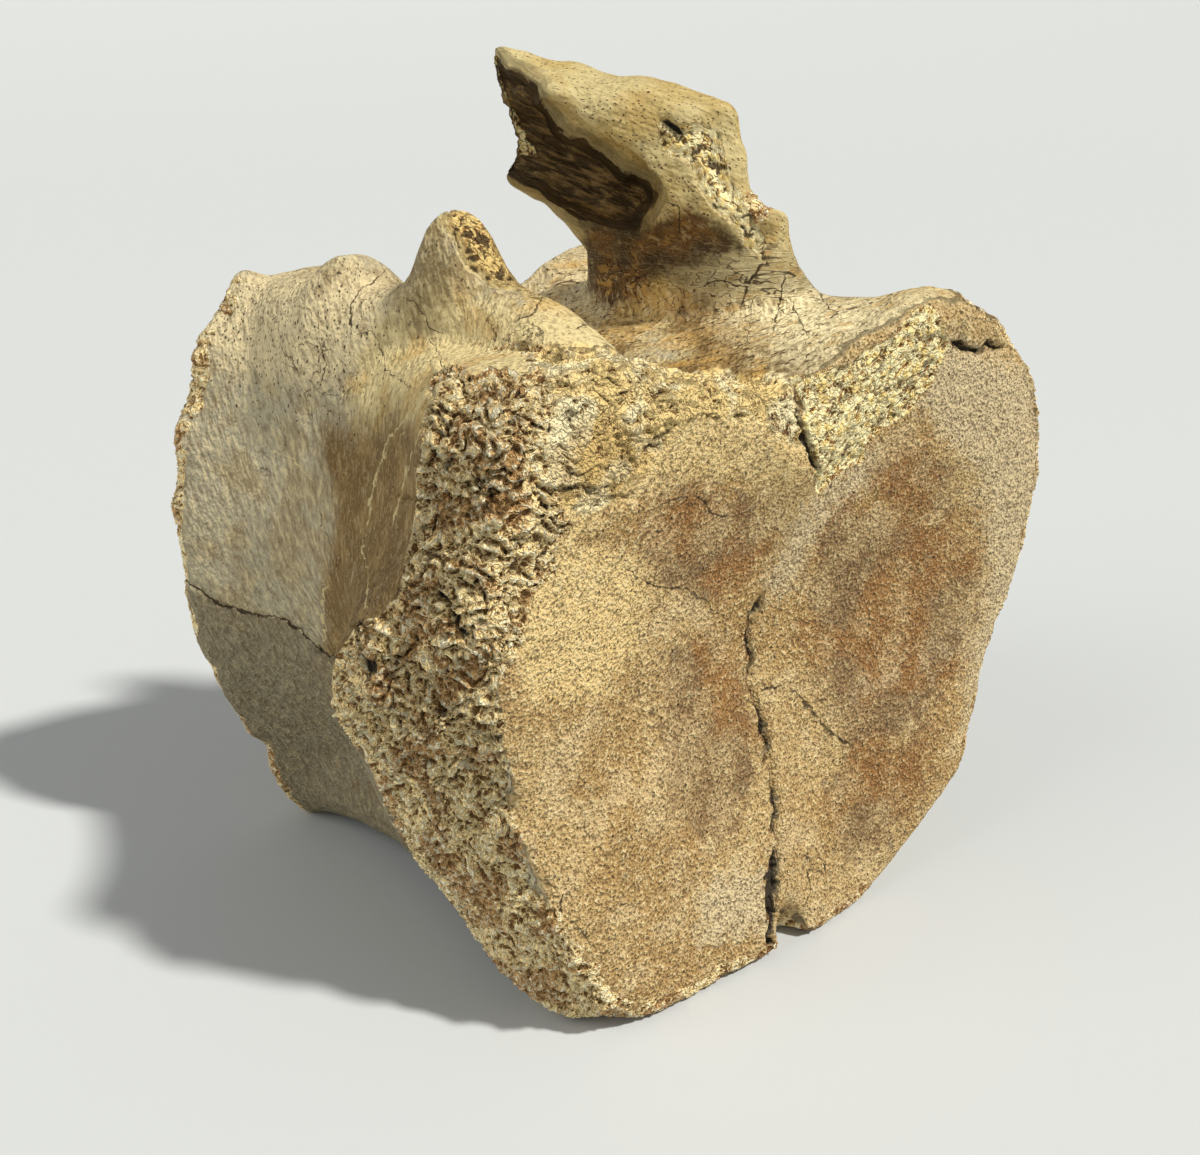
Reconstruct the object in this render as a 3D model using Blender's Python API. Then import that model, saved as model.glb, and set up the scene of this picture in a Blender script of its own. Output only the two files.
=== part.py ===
"""A fossil hadrosaur back vertebra, life size: one weathered bone that stands on the lower rims of its body.

The heart-shaped front face looks along -Y, +X is its right-hand side as seen from the front, and +Z is up.
Sizes are in millimetres from the middle of the front face's foot, and the finished bone is moved at the end
so that its origin is the middle of the floor under its box.
"""

import math
from collections import namedtuple

import bmesh
import bpy
import numpy as np
from mathutils import Vector, noise

MM = 0.001

# Driving sizes of the bone, in millimetres
HALF_WIDTH = 70.0  # midline to the widest place of a rim
BODY_LENGTH = 93.0  # front face to back face
WAIST_DEPTH = 54.0  # how far behind the front face the body is narrowest
WAIST_HALF_WIDTH = 56.0
WIDEST_HEIGHT = 61.0
LOBE_OFFSET = 36.0  # midline to the top of a lobe of the heart
LOBE_HEIGHT = 111.0
CANAL_HEIGHT = 100.0  # floor of the neural canal
SOLE_HALF_WIDTH = 43.0  # flat under the rims
DISH_DEPTH = 5.0  # hollow of both joint faces
DISH_HALF_WIDTH = 63.0
FACE_MIDDLE = (1.0, 57.0)
VALLEY_DEPTH = 1.6
VALLEY_HALF_WIDTH = 13.0
VALLEY_HEIGHTS = (10.0, 70.0)  # it fades out between them
BULGE_HEIGHT = 42.0  # the front rim's foot stands forward below this height

# Fineness of the mesh
POINTS_ROUND = 120  # in each ring of the body
WALL_POINTS = 40  # in each ring of the arch
STUB_POINTS = 32  # in each ring of the stub
CONE_SIDES = 24
FUSE_VOXEL = 1.25
SMOOTH_TURNS = 4
MOST_TRIANGLES = 10400
SNAP = 0.02  # heights this near the floor lie on it

# Where rings of points lie, as shares of the way: out over a joint face, round the front bevel, and along
# half the body's length
FACE_SHARES = (0.12, 0.25, 0.38, 0.5, 0.62, 0.74, 0.84, 0.92, 1.0)
BEVEL_SHARES = (0.35, 0.7)
SIDE_SHARES = (0.0, 0.1, 0.22, 0.36, 0.52, 0.7, 0.85)
BEVEL_BOW = 0.8  # below 1 the bevel swells outwards
SQUARENESS = 0.8  # of the rings of the arch and the stub: 1 is an ellipse, 0 a rectangle

NODE_NAME = "vertebra"

# Weathering: knobs on the broken rim and a gentle swell everywhere
LUMP_SIZE = 9.0
LUMP_HEIGHT = 2.4
SWELL_SIZE = 30.0
SWELL_HEIGHT = 0.7
SWELL_START = (7.0, 1.0, 3.0)  # place in the noise, so that swell and lumps differ

# How strongly the other broken places are crumbled, as shares of the front rim's
TOP_ROUGHNESS = 0.8
BACK_ROUGHNESS = 0.6
STUB_ROUGHNESS = 0.5
ARCH_ROUGHNESS = 0.6

# Hollow under the broken edge of the arch, from its point to its mouth
HOLLOW_START = (15.0, 53.0, 125.5)
HOLLOW_END = (-19.0, 74.0, 142.0)
HOLLOW_RADII = (5.5, 9.5)

# Chip at the foot of the long crack in the front face
CHIP_START = (-1.0, -4.5, -2.0)
CHIP_END = (-0.5, -8.5, 16.0)
CHIP_RADII = (4.5, 0.5)

# Lump of hard matrix on the outer side of the arch
KNOB_PLACE = (28.3, 36.0, 120.5)
KNOB_RADIUS = 3.4

BONE_COLOUR = (0.50, 0.40, 0.25, 1.0)
BONE_ROUGHNESS = 0.85

# One outline round the body, with pairs for the left and right sides. The shoulder is where the top of a rim
# turns down, as shares of the half width and of the drop from the lobe to the widest place, and the lip is
# the share of the lobe's offset at which the top turns down to the canal.
Section = namedtuple(
    "Section",
    "depth half_width widest lobe_offset lobe_height shoulder shoulder_drop upper lip canal canal_offset"
    " lower heel sole_half_width sole setback forward",
)

# How far each named place of an outline is set back, as a share of the section's own setback
SETBACK_SHARE = {
    "lip": 0.05,
    "lobe": 0.14,
    "shoulder": 0.24,
    "upper": 0.42,
    "widest": 0.92,
    "lower": 1.0,
    "heel": 0.72,
    "corner": 0.14,
}


def smoothstep(low, high, value):
    """0 below low, 1 above high, and an even rise between."""
    share = min(1.0, max(0.0, (value - low) / (high - low)))
    return share * share * (3.0 - 2.0 * share)


def mixed(a, b, share):
    """A value, or a pair of values, part of the way from a to b."""
    if isinstance(a, tuple):
        return tuple(mixed(x, y, share) for x, y in zip(a, b))
    return a + (b - a) * share


def section_between(a, b, share, bow):
    """The section part of the way from a to b in depth; bow is the share that the other sizes have gone."""
    values = [mixed(x, y, bow) for x, y in zip(a, b)]
    made = Section(*values)
    return made._replace(depth=mixed(a.depth, b.depth, share), setback=mixed(a.setback, b.setback, share))


def bulge(section, side, height):
    """How far the foot of an outline stands forward at a height."""
    share = max(0.0, 1.0 - height / BULGE_HEIGHT)
    return section.forward[side] * share * (2.0 - share)


def outline_places(section):
    """The named places of one outline, anticlockwise from the canal as seen from the front: (x, y, z)."""
    sides = []
    for side, sign in enumerate((-1, 1)):
        half = section.half_width[side]
        top = section.lobe_height[side]
        wide = section.widest
        foot = section.sole
        offset = section.lobe_offset[side]
        places = {
            "lip": (section.lip[side] * offset, section.canal + 0.6 * (top - section.canal)),
            "lobe": (offset, top),
            "shoulder": (section.shoulder[side] * half, top - section.shoulder_drop[side] * (top - wide)),
            "upper": (section.upper[side] * half, wide + 0.46 * (top - wide)),
            "widest": (half, wide),
            "lower": (section.lower[side] * half, foot + 0.63 * (wide - foot)),
            "heel": (section.heel[side] * half, foot + 0.30 * (wide - foot)),
            "corner": (section.sole_half_width[side], foot),
        }
        back = section.setback[side]
        sides.append(
            [
                Vector((sign * x, section.depth + back * SETBACK_SHARE[name] - bulge(section, side, z), z))
                for name, (x, z) in places.items()
            ]
        )
    canal = Vector((section.canal_offset, section.depth, section.canal))
    sole = Vector((0.0, section.depth - bulge(section, 0, foot), section.sole))
    return [canal, *sides[0], sole, *reversed(sides[1])]


def curve_through(places, count):
    """A closed loop of count points on a smooth curve through the places, which keep their order."""
    total = len(places)
    loop = []
    for i in range(count):
        at = i * total / count
        k, t = int(at), at - int(at)
        a, b, c, d = (places[(k + j) % total] for j in (-1, 0, 1, 2))
        bend = (2 * a - 5 * b + 4 * c - d) * t ** 2 + (3 * b - a - 3 * c + d) * t ** 3
        loop.append(b + ((c - a) * t + bend) / 2)
    return loop


def lofted(name, loops, start_tip=None, end_tip=None):
    """A closed mesh object through loops of equal length, closed at each end by a fan to its tip."""
    mesh = bmesh.new()
    rings = [[mesh.verts.new(p) for p in loop] for loop in loops]
    for first, second in zip(rings, rings[1:]):
        for i in range(len(first)):
            j = (i + 1) % len(first)
            mesh.faces.new((first[i], first[j], second[j], second[i]))
    for ring, tip in ((rings[0], start_tip), (rings[-1], end_tip)):
        middle = mesh.verts.new(tip or sum((v.co for v in ring), Vector()) / len(ring))
        for i in range(len(ring)):
            mesh.faces.new((ring[i], ring[(i + 1) % len(ring)], middle))
    bmesh.ops.recalc_face_normals(mesh, faces=mesh.faces)
    data = bpy.data.meshes.new(name)
    mesh.to_mesh(data)
    mesh.free()
    made = bpy.data.objects.new(name, data)
    bpy.context.scene.collection.objects.link(made)
    return made


FACE_EDGE = Section(
    depth=0.0,
    half_width=(57.5, 66.5),
    widest=62.0,
    lobe_offset=(35.0, 37.0),
    lobe_height=(107.0, 111.0),
    shoulder=(0.88, 0.815),
    shoulder_drop=(0.13, 0.16),
    upper=(0.95, 0.985),
    lip=(0.22, 0.55),
    canal=86.0,
    canal_offset=6.0,
    lower=(0.92, 0.845),
    heel=(0.86, 0.73),
    sole_half_width=(35.0, 21.0),
    sole=1.5,
    setback=(0.0, 0.0),
    forward=(8.0, 5.0),
)
FRONT_RIM = Section(
    depth=4.0,
    half_width=(HALF_WIDTH, HALF_WIDTH),
    widest=WIDEST_HEIGHT,
    lobe_offset=(LOBE_OFFSET + 8.0, LOBE_OFFSET + 2.0),
    lobe_height=(LOBE_HEIGHT - 1.5, LOBE_HEIGHT + 1.0),
    shoulder=(0.87, 0.815),
    shoulder_drop=(0.08, 0.16),
    upper=(0.895, 0.97),
    lip=(0.45, 0.5),
    canal=CANAL_HEIGHT,
    canal_offset=1.0,
    lower=(0.92, 0.845),
    heel=(0.80, 0.74),
    sole_half_width=(SOLE_HALF_WIDTH, 24.0),
    sole=0.0,
    setback=(25.0, 8.0),
    forward=(4.0, 3.0),
)
WAIST = Section(
    depth=WAIST_DEPTH,
    half_width=(WAIST_HALF_WIDTH, WAIST_HALF_WIDTH),
    widest=WIDEST_HEIGHT + 4.0,
    lobe_offset=(LOBE_OFFSET, LOBE_OFFSET),
    lobe_height=(106.0, 106.0),
    shoulder=(0.84, 0.84),
    shoulder_drop=(0.13, 0.13),
    upper=(0.95, 0.95),
    lip=(0.45, 0.45),
    canal=CANAL_HEIGHT - 3.0,
    canal_offset=-2.0,
    lower=(0.92, 0.92),
    heel=(0.80, 0.80),
    sole_half_width=(SOLE_HALF_WIDTH, SOLE_HALF_WIDTH),
    sole=6.0,
    setback=(0.0, 0.0),
    forward=(0.0, 0.0),
)
BACK_RIM = Section(
    depth=BODY_LENGTH - 3.0,
    half_width=(HALF_WIDTH + 1.0, HALF_WIDTH),
    widest=WIDEST_HEIGHT + 4.0,
    lobe_offset=(LOBE_OFFSET + 9.0, LOBE_OFFSET),
    lobe_height=(LOBE_HEIGHT + 3.0, LOBE_HEIGHT + 3.0),
    shoulder=(0.82, 0.82),
    shoulder_drop=(0.10, 0.13),
    upper=(0.95, 0.95),
    lip=(0.45, 0.45),
    canal=CANAL_HEIGHT + 1.0,
    canal_offset=0.0,
    lower=(0.96, 0.92),
    heel=(0.83, 0.80),
    sole_half_width=(SOLE_HALF_WIDTH + 3.0, SOLE_HALF_WIDTH + 3.0),
    sole=0.0,
    setback=(-4.0, -4.0),
    forward=(0.0, 0.0),
)
BACK_EDGE = BACK_RIM._replace(
    depth=BODY_LENGTH,
    half_width=(HALF_WIDTH - 3.0, HALF_WIDTH - 3.0),
    lobe_height=(LOBE_HEIGHT, LOBE_HEIGHT),
    sole=3.0,
    setback=(0.0, 0.0),
)


def dish_at(x, z):
    """How deep a joint face is hollowed at a place: a round dish with a valley down from the canal."""
    aside, up = x - FACE_MIDDLE[0], z - FACE_MIDDLE[1]
    reach = min(1.0, math.hypot(aside / DISH_HALF_WIDTH, up / FACE_MIDDLE[1]))
    valley = VALLEY_DEPTH * math.exp(-((aside / VALLEY_HALF_WIDTH) ** 2)) * smoothstep(*VALLEY_HEIGHTS, z)
    return DISH_DEPTH * (1.0 - reach ** 2) + valley


def face_rings(edge, facing):
    """Rings inside a joint face, from near its middle out to its edge, dished into the bone."""
    middle = Vector((FACE_MIDDLE[0], edge.depth, FACE_MIDDLE[1]))
    border = curve_through(outline_places(edge), POINTS_ROUND)
    rings = []
    for share in FACE_SHARES:
        ring = []
        for p in border:
            place = middle + (p - middle) * share
            place.y -= facing * dish_at(place.x, place.z) * (1.0 - share ** 3)
            ring.append(place)
        rings.append(ring)
    tip = middle - Vector((0.0, facing * dish_at(*FACE_MIDDLE), 0.0))
    return rings, tip


def body_of_bone():
    """The spool-shaped body, with its two dished faces, worn front rim, narrow waist and flared back rim."""
    front, front_tip = face_rings(FACE_EDGE, -1)
    back, back_tip = face_rings(BACK_EDGE, 1)
    sections = []
    for s in BEVEL_SHARES:
        sections.append(section_between(FACE_EDGE, FRONT_RIM, s, math.sin(s * math.pi / 2) ** BEVEL_BOW))
    for s in SIDE_SHARES:
        sections.append(section_between(FRONT_RIM, WAIST, s, 1.0 - (1.0 - s) ** 2))
    for s in SIDE_SHARES:
        sections.append(section_between(WAIST, BACK_RIM, s, s ** 2))
    sections += [section_between(BACK_RIM, BACK_EDGE, s, s ** 2) for s in (0.0, 0.5)]
    sides = [curve_through(outline_places(section), POINTS_ROUND) for section in sections]
    return lofted("body", front + sides + back[::-1], front_tip, back_tip)


# Right wall of the canal, which climbs into the broken arch: at each height its back end, its front end
# and its thickness
Level = namedtuple("Level", "height back front thickness")
ARCH_LEVELS = (
    Level(88.0, (24.0, 84.0), (42.0, 10.0), 34.0),
    Level(100.0, (21.0, 80.0), (38.5, 17.0), 26.0),
    Level(105.0, (18.0, 77.0), (35.0, 25.0), 19.5),
    Level(109.0, (17.0, 76.0), (32.0, 28.5), 16.0),
    Level(113.0, (16.0, 75.0), (30.3, 31.0), 14.0),
    Level(121.0, (8.0, 76.0), (29.8, 35.0), 13.0),
    Level(127.0, (-5.0, 74.0), (28.3, 42.0), 14.5),
    Level(134.0, (-4.5, 73.0), (28.0, 44.0), 15.0),
    Level(141.0, (-6.0, 72.5), (26.0, 45.0), 14.0),
    Level(144.0, (-6.0, 73.0), (22.0, 50.0), 12.0),
    Level(147.0, (-6.0, 74.0), (10.0, 67.0), 8.0),
    Level(149.5, (-6.5, 74.5), (1.0, 72.0), 6.0),
    Level(151.3, (-7.0, 75.0), (-4.0, 74.0), 3.0),
)
LEVEL_STEP = 2.0  # height between rings of the wall


def squared(turn):
    """The cosine and sine of a turn, pushed out so that a circle of them is squarish."""
    return (math.copysign(abs(value) ** SQUARENESS, value) for value in (math.cos(turn), math.sin(turn)))


def wall_ring(level):
    """A flattened ring round the line between the two ends of a level of the wall."""
    height, back, front, thickness = level
    back, front = Vector((*back, height)), Vector((*front, height))
    along = (front - back) / 2
    across = Vector((-along.y, along.x, 0.0)).normalized()
    ring = []
    for i in range(WALL_POINTS):
        c, s = squared(2 * math.pi * i / WALL_POINTS)
        ring.append((back + front) / 2 + along * c + across * s * thickness / 2)
    return ring


def arch_of_bone():
    """The right wall of the canal and the piece of arch that is left on it."""
    rings = []
    for low, high in zip(ARCH_LEVELS, ARCH_LEVELS[1:]):
        steps = max(1, round((high.height - low.height) / LEVEL_STEP))
        for k in range(steps):
            rings.append(wall_ring([mixed(a, b, k / steps) for a, b in zip(low, high)]))
    rings.append(wall_ring(ARCH_LEVELS[-1]))
    return lofted("arch", rings)


# Left wall of the canal, broken off low: at each depth its outer side, inner side and top
Slice = namedtuple("Slice", "depth outer inner top")
STUB_SLICES = (
    Slice(4.0, -42.0, -24.0, 103.0),
    Slice(12.0, -42.0, -21.0, 109.5),
    Slice(24.0, -41.0, -20.0, 114.0),
    Slice(37.5, -40.0, -22.0, 116.5),
    Slice(40.0, -40.0, -26.5, 125.0),
    Slice(43.0, -41.0, -27.5, 127.5),
    Slice(46.0, -42.5, -28.0, 127.0),
    Slice(48.0, -44.0, -26.0, 119.5),
    Slice(52.0, -46.5, -24.0, 115.0),
    Slice(60.0, -50.5, -25.0, 112.5),
    Slice(63.0, -52.0, -27.0, 113.5),
    Slice(65.0, -53.0, -30.0, 118.0),
    Slice(67.0, -54.0, -30.0, 118.0),
    Slice(69.5, -55.0, -28.0, 114.5),
    Slice(84.0, -57.0, -30.0, 113.0),
)
STUB_FOOT = 92.0
STUB_FLARE = 0.25  # how much wider the stub is at its foot
STUB_ROOT = 0.4  # how far it goes on below its foot, as a share of its height


def stub_of_bone():
    """The broken foot of the left wall, with its peak and the small spur behind it."""
    rings = []
    for part in STUB_SLICES:
        middle = (part.outer + part.inner) / 2
        half = (part.inner - part.outer) / 2
        rise = part.top - STUB_FOOT
        ring = []
        for i in range(STUB_POINTS):
            c, s = squared(2 * math.pi * i / STUB_POINTS)
            width = half * (1.0 + STUB_FLARE * max(0.0, -s))
            height = rise * (s if s > 0 else STUB_ROOT * s)
            ring.append(Vector((middle + width * c, part.depth, STUB_FOOT + height)))
        rings.append(ring)
    return lofted("stub", rings)


def knob_of_matrix():
    """The small lump that sticks out of the arch."""
    mesh = bmesh.new()
    bmesh.ops.create_icosphere(mesh, subdivisions=3, radius=KNOB_RADIUS)
    bmesh.ops.translate(mesh, verts=mesh.verts, vec=KNOB_PLACE)
    data = bpy.data.meshes.new("knob")
    mesh.to_mesh(data)
    mesh.free()
    made = bpy.data.objects.new("knob", data)
    bpy.context.scene.collection.objects.link(made)
    return made


def cutter(name, start, end, radii):
    """A cone between two points, used to hollow the bone and hidden from the render."""
    start, end = Vector(start), Vector(end)
    mesh = bmesh.new()
    bmesh.ops.create_cone(
        mesh,
        cap_ends=True,
        segments=CONE_SIDES,
        radius1=radii[0],
        radius2=radii[1],
        depth=(end - start).length,
    )
    data = bpy.data.meshes.new(name)
    mesh.to_mesh(data)
    mesh.free()
    made = bpy.data.objects.new(name, data)
    made.rotation_mode = "QUATERNION"
    made.rotation_quaternion = (end - start).to_track_quat("Z", "Y")
    made.location = (start + end) / 2
    made.hide_render = True
    made.display_type = "WIRE"
    bpy.context.scene.collection.objects.link(made)
    return made


def joined(objects, cutters):
    """The objects united into one closed mesh, less the cutters."""
    base = objects[0]
    groups = []
    for operation, members in (("UNION", objects[1:]), ("DIFFERENCE", cutters)):
        if not members:
            continue
        group = bpy.data.collections.new(operation.lower())
        bpy.context.scene.collection.children.link(group)
        for member in members:
            group.objects.link(member)
        step = base.modifiers.new(operation, "BOOLEAN")
        step.operation = operation
        step.operand_type = "COLLECTION"
        step.collection = group
        step.solver = "EXACT"
        groups.append(group)
    remesh = base.modifiers.new("Fuse", "REMESH")
    remesh.mode = "VOXEL"
    remesh.voxel_size = FUSE_VOXEL
    smooth = base.modifiers.new("Ease", "SMOOTH")
    smooth.factor = 0.5
    smooth.iterations = SMOOTH_TURNS
    data = evaluated_mesh(base)
    for group in groups:
        for member in list(group.objects):
            bpy.data.objects.remove(member)
        bpy.data.collections.remove(group)
    bpy.data.objects.remove(base)
    made = bpy.data.objects.new(NODE_NAME, data)
    bpy.context.scene.collection.objects.link(made)
    return made


def evaluated_mesh(thing):
    """A copy of an object's mesh with its modifiers applied."""
    bpy.context.view_layer.update()
    graph = bpy.context.evaluated_depsgraph_get()
    return bpy.data.meshes.new_from_object(thing.evaluated_get(graph))


def keep_largest(mesh):
    """Leave only the connected surface with the most vertices."""
    mesh.verts.ensure_lookup_table()
    seen = set()
    pieces = []
    for start in mesh.verts:
        if start in seen:
            continue
        seen.add(start)
        piece = [start]
        for vert in piece:
            for edge in vert.link_edges:
                other = edge.other_vert(vert)
                if other not in seen:
                    seen.add(other)
                    piece.append(other)
        pieces.append(piece)
    pieces.sort(key=len)
    for piece in pieces[:-1]:
        bmesh.ops.delete(mesh, geom=piece, context="VERTS")


def roughness_at(place, normal):
    """How broken the surface is, from 0 on smooth bone to 1 on the crumbled rim and the breaks."""
    x, y, z = place
    bevel = smoothstep(0.12, 0.4, -normal.y) * smoothstep(-0.97, -0.8, normal.y)
    band = bevel * smoothstep(38.0, 30.0, y) * smoothstep(-34.0, -46.0, x)
    top = smoothstep(104.0, 107.0, z) * smoothstep(16.0, 8.0, y) * smoothstep(0.1, 0.4, normal.z)
    back_rim = smoothstep(BODY_LENGTH - 13.0, BODY_LENGTH - 5.0, y) * smoothstep(0.98, 0.9, normal.y)
    stub = smoothstep(34.0, 38.0, y) * smoothstep(0.3, 0.7, -normal.y) * smoothstep(110.0, 116.0, z)
    arch = smoothstep(118.0, 124.0, z) * smoothstep(-10.0, 0.0, x)
    return max(
        band,
        TOP_ROUGHNESS * top,
        BACK_ROUGHNESS * back_rim,
        STUB_ROUGHNESS * stub,
        ARCH_ROUGHNESS * arch,
    )


def weather(mesh):
    """Lift and sink the surface: knobbly on the broken rim, gently uneven elsewhere."""
    mesh.normal_update()
    start = Vector(SWELL_START)
    moves = []
    for vert in mesh.verts:
        place, normal = vert.co, vert.normal
        rough = roughness_at(place, normal)
        lumps = noise.fractal(place / LUMP_SIZE, 1.0, 2.0, 3)
        swell = noise.fractal(place / SWELL_SIZE + start, 1.0, 2.0, 2)
        moves.append(normal * (rough * LUMP_HEIGHT * lumps + SWELL_HEIGHT * swell))
    for vert, move in zip(mesh.verts, moves):
        vert.co += move


def flatten_sole(mesh):
    """Cut off flat what lies below the floor, which is how the foot is worn where it stands."""
    geometry = mesh.verts[:] + mesh.edges[:] + mesh.faces[:]
    bmesh.ops.bisect_plane(
        mesh, geom=geometry, plane_co=(0.0, 0.0, 0.0), plane_no=(0.0, 0.0, -1.0), clear_outer=True
    )
    rim = [edge for edge in mesh.edges if edge.is_boundary]
    bmesh.ops.holes_fill(mesh, edges=rim, sides=0)


def lighten(thing):
    """Bring the mesh down to MOST_TRIANGLES."""
    triangles = sum(len(p.vertices) - 2 for p in thing.data.polygons)
    step = thing.modifiers.new("Lighten", "DECIMATE")
    step.ratio = min(1.0, MOST_TRIANGLES / triangles)
    data = evaluated_mesh(thing)
    thing.modifiers.clear()
    thing.data = data


def finish(thing):
    """Set the bone on the floor round its origin, in metres, and give it its material."""
    data = thing.data
    places = np.array([v.co for v in data.vertices])
    middle = (places.min(axis=0) + places.max(axis=0)) / 2
    for vert in data.vertices:
        x, y, z = vert.co
        vert.co = Vector((x - middle[0], y - middle[1], 0.0 if z < SNAP else z)) * MM
    material = bpy.data.materials.new("bone")
    material.use_nodes = True
    shader = material.node_tree.nodes["Principled BSDF"]
    shader.inputs["Base Color"].default_value = BONE_COLOUR
    shader.inputs["Roughness"].default_value = BONE_ROUGHNESS
    data.materials.clear()
    data.materials.append(material)
    data.polygons.foreach_set("use_smooth", [True] * len(data.polygons))
    data.name = NODE_NAME


def main():
    for old in list(bpy.data.objects):
        bpy.data.objects.remove(old)
    hollow = cutter("hollow", HOLLOW_START, HOLLOW_END, HOLLOW_RADII)
    chip = cutter("chip", CHIP_START, CHIP_END, CHIP_RADII)
    thing = joined([body_of_bone(), arch_of_bone(), stub_of_bone(), knob_of_matrix()], [hollow, chip])
    mesh = bmesh.new()
    mesh.from_mesh(thing.data)
    keep_largest(mesh)
    weather(mesh)
    flatten_sole(mesh)
    bmesh.ops.triangulate(mesh, faces=mesh.faces)
    mesh.to_mesh(thing.data)
    mesh.free()
    lighten(thing)
    finish(thing)


if __name__ == "__main__":
    main()
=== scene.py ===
"""A fossil hadrosaur back vertebra: crumbled rims, cracks, pores and mineral stains over the solid bone, with
light and shade painted into its colours in places.

Places on the bone are in millimetres: x to its right, depth back from the front joint face, and z up.
Borders and lines that cross several surfaces are drawn flat instead, as they show from the viewpoint, in
1200ths of the picture's width from its top left corner.
"""

import math

import bpy
import numpy as np
from mathutils import Matrix, Vector
from mathutils.kdtree import KDTree


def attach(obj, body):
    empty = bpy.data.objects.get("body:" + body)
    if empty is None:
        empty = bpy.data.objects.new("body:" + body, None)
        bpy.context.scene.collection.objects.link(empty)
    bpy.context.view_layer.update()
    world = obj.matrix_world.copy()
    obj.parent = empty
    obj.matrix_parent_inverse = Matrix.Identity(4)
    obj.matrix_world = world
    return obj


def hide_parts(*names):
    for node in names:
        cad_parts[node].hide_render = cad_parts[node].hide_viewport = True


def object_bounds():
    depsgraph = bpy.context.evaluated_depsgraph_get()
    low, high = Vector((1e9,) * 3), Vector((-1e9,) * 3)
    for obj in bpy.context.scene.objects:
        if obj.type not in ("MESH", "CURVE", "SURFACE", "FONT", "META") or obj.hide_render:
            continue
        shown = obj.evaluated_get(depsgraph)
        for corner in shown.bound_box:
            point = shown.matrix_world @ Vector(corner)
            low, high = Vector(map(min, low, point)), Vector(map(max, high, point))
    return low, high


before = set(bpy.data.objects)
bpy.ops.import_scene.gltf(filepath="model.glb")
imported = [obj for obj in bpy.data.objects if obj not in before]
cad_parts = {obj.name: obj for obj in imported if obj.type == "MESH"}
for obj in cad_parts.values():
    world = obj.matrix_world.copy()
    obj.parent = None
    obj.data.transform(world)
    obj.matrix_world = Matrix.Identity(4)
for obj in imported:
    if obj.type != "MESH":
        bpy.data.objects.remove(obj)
CAD_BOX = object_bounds()

bl_info = {
    "name": "Fossil hadrosaur vertebra",
    "version": (1, 0, 0),
    "blender": (4, 5, 0),
    "location": "3D View > Sidebar > Fossil",
    "description": "Builds a weathered fossil vertebra on a pale floor",
    "category": "Add Mesh",
}

NODE = "vertebra"
MM = 1000.0  # millimetres in a metre
FACE_SHIFT = np.array((-0.06, -42.76, 0.0))  # from the object's origin to the foot of the front face

# Viewpoint
SIGHT_TURN = math.radians(37.29)  # from square on to the front face, round to its left
SIGHT_TIP = math.radians(21.0)  # down
SIGHT_PLACE = np.array((-156.1, -154.1, 152.2))
SIGHT_SCALE = 1400.0  # units of the drawn borders that one millimetre takes at a distance of one millimetre
SIGHT_MIDDLE = np.array((600.0, 577.5))
UNITS = 5.0  # about how many of those units a millimetre of the bone takes
FAR = 1e9  # farther than any place from any line

# Carving
SMOOTH_VOXEL = 0.00055  # mesh size in metres that takes SMOOTHING rounds of smoothing
SMOOTHING = 16
SAME_PLACE = 0.000001  # metres within which points are one
HOLE_DEPTH = 2.4  # millimetres that the hole at the arch's tip goes in
FURROWS = 0.16  # millimetres of relief along the canal
HOLLOW_LIP = 232.0  # how far down the hollow's lower lip is drawn, where it goes in less

# Floor and surroundings, in metres
FLOOR_FLAT = 1.5  # from the middle to where the floor begins to rise
FLOOR_REACH = 10.5  # from the middle to its edge
FLOOR_RISE = 1.6
RINGS = 12
SPOKES = 72
SKY_SHADE = (0.99, 0.99, 0.97, 1.0)
PAST_SHADE = (0.66, 0.68, 0.665, 1.0)  # what the viewer sees past the floor

# Borders, as they show from the viewpoint
BAND = (
    (432, 380), (452, 362), (480, 352), (510, 346), (540, 346), (552, 400), (548, 450), (556, 480),
    (562, 508), (574, 526), (552, 574), (528, 610), (517, 661), (502, 690), (500, 723), (510, 777),
    (519, 840), (527, 873), (552, 918), (580, 950), (604, 978), (632, 1004), (600, 1060), (480, 1030),
    (400, 900), (330, 800), (310, 690), (328, 660), (350, 624), (384, 616), (392, 596), (400, 574),
    (404, 550), (412, 498), (424, 442), (430, 410),
)  # fmt: skip
TOP_EDGE = (
    (520, 350), (600, 346), (652, 348), (688, 360), (720, 368), (752, 374), (790, 382), (808, 420),
    (808, 448), (780, 436), (750, 420), (700, 418), (664, 440), (640, 480), (604, 504), (560, 512),
    (540, 470), (540, 400),
)  # fmt: skip
PATCH = (
    (792, 378), (800, 404), (804, 423), (806, 446), (814, 462), (818, 492), (834, 474), (860, 460),
    (868, 443), (894, 423), (912, 410), (926, 390), (938, 370), (949, 350), (942, 320), (930, 306),
    (913, 312), (890, 336), (868, 350), (850, 362), (815, 374),
)  # fmt: skip
STRIP = (
    (657, 122), (680, 126), (702, 122), (716, 134), (724, 158), (730, 176), (740, 190), (748, 210),
    (764, 235), (764, 262), (742, 244), (738, 232), (728, 220), (712, 208), (700, 188), (690, 168),
    (684, 157), (672, 158), (662, 145),
)  # fmt: skip
HOLLOW = (
    (478, 30), (491, 44), (507, 70), (518, 71), (538, 84), (542, 100), (553, 114), (559, 127),
    (571, 135), (585, 138), (598, 149), (611, 159), (625, 170), (636, 174), (650, 181), (657, 196),
    (653, 206), (645, 216), (638, 232), (622, 230), (600, 224), (580, 218), (560, 206), (540, 192),
    (520, 182), (500, 168), (470, 150),
)  # fmt: skip
STUB_BREAK = (
    (447, 200), (440, 222), (455, 240), (467, 264), (490, 284), (520, 294), (545, 298), (533, 284),
    (510, 262), (500, 240), (490, 214), (476, 196),
)  # fmt: skip
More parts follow.
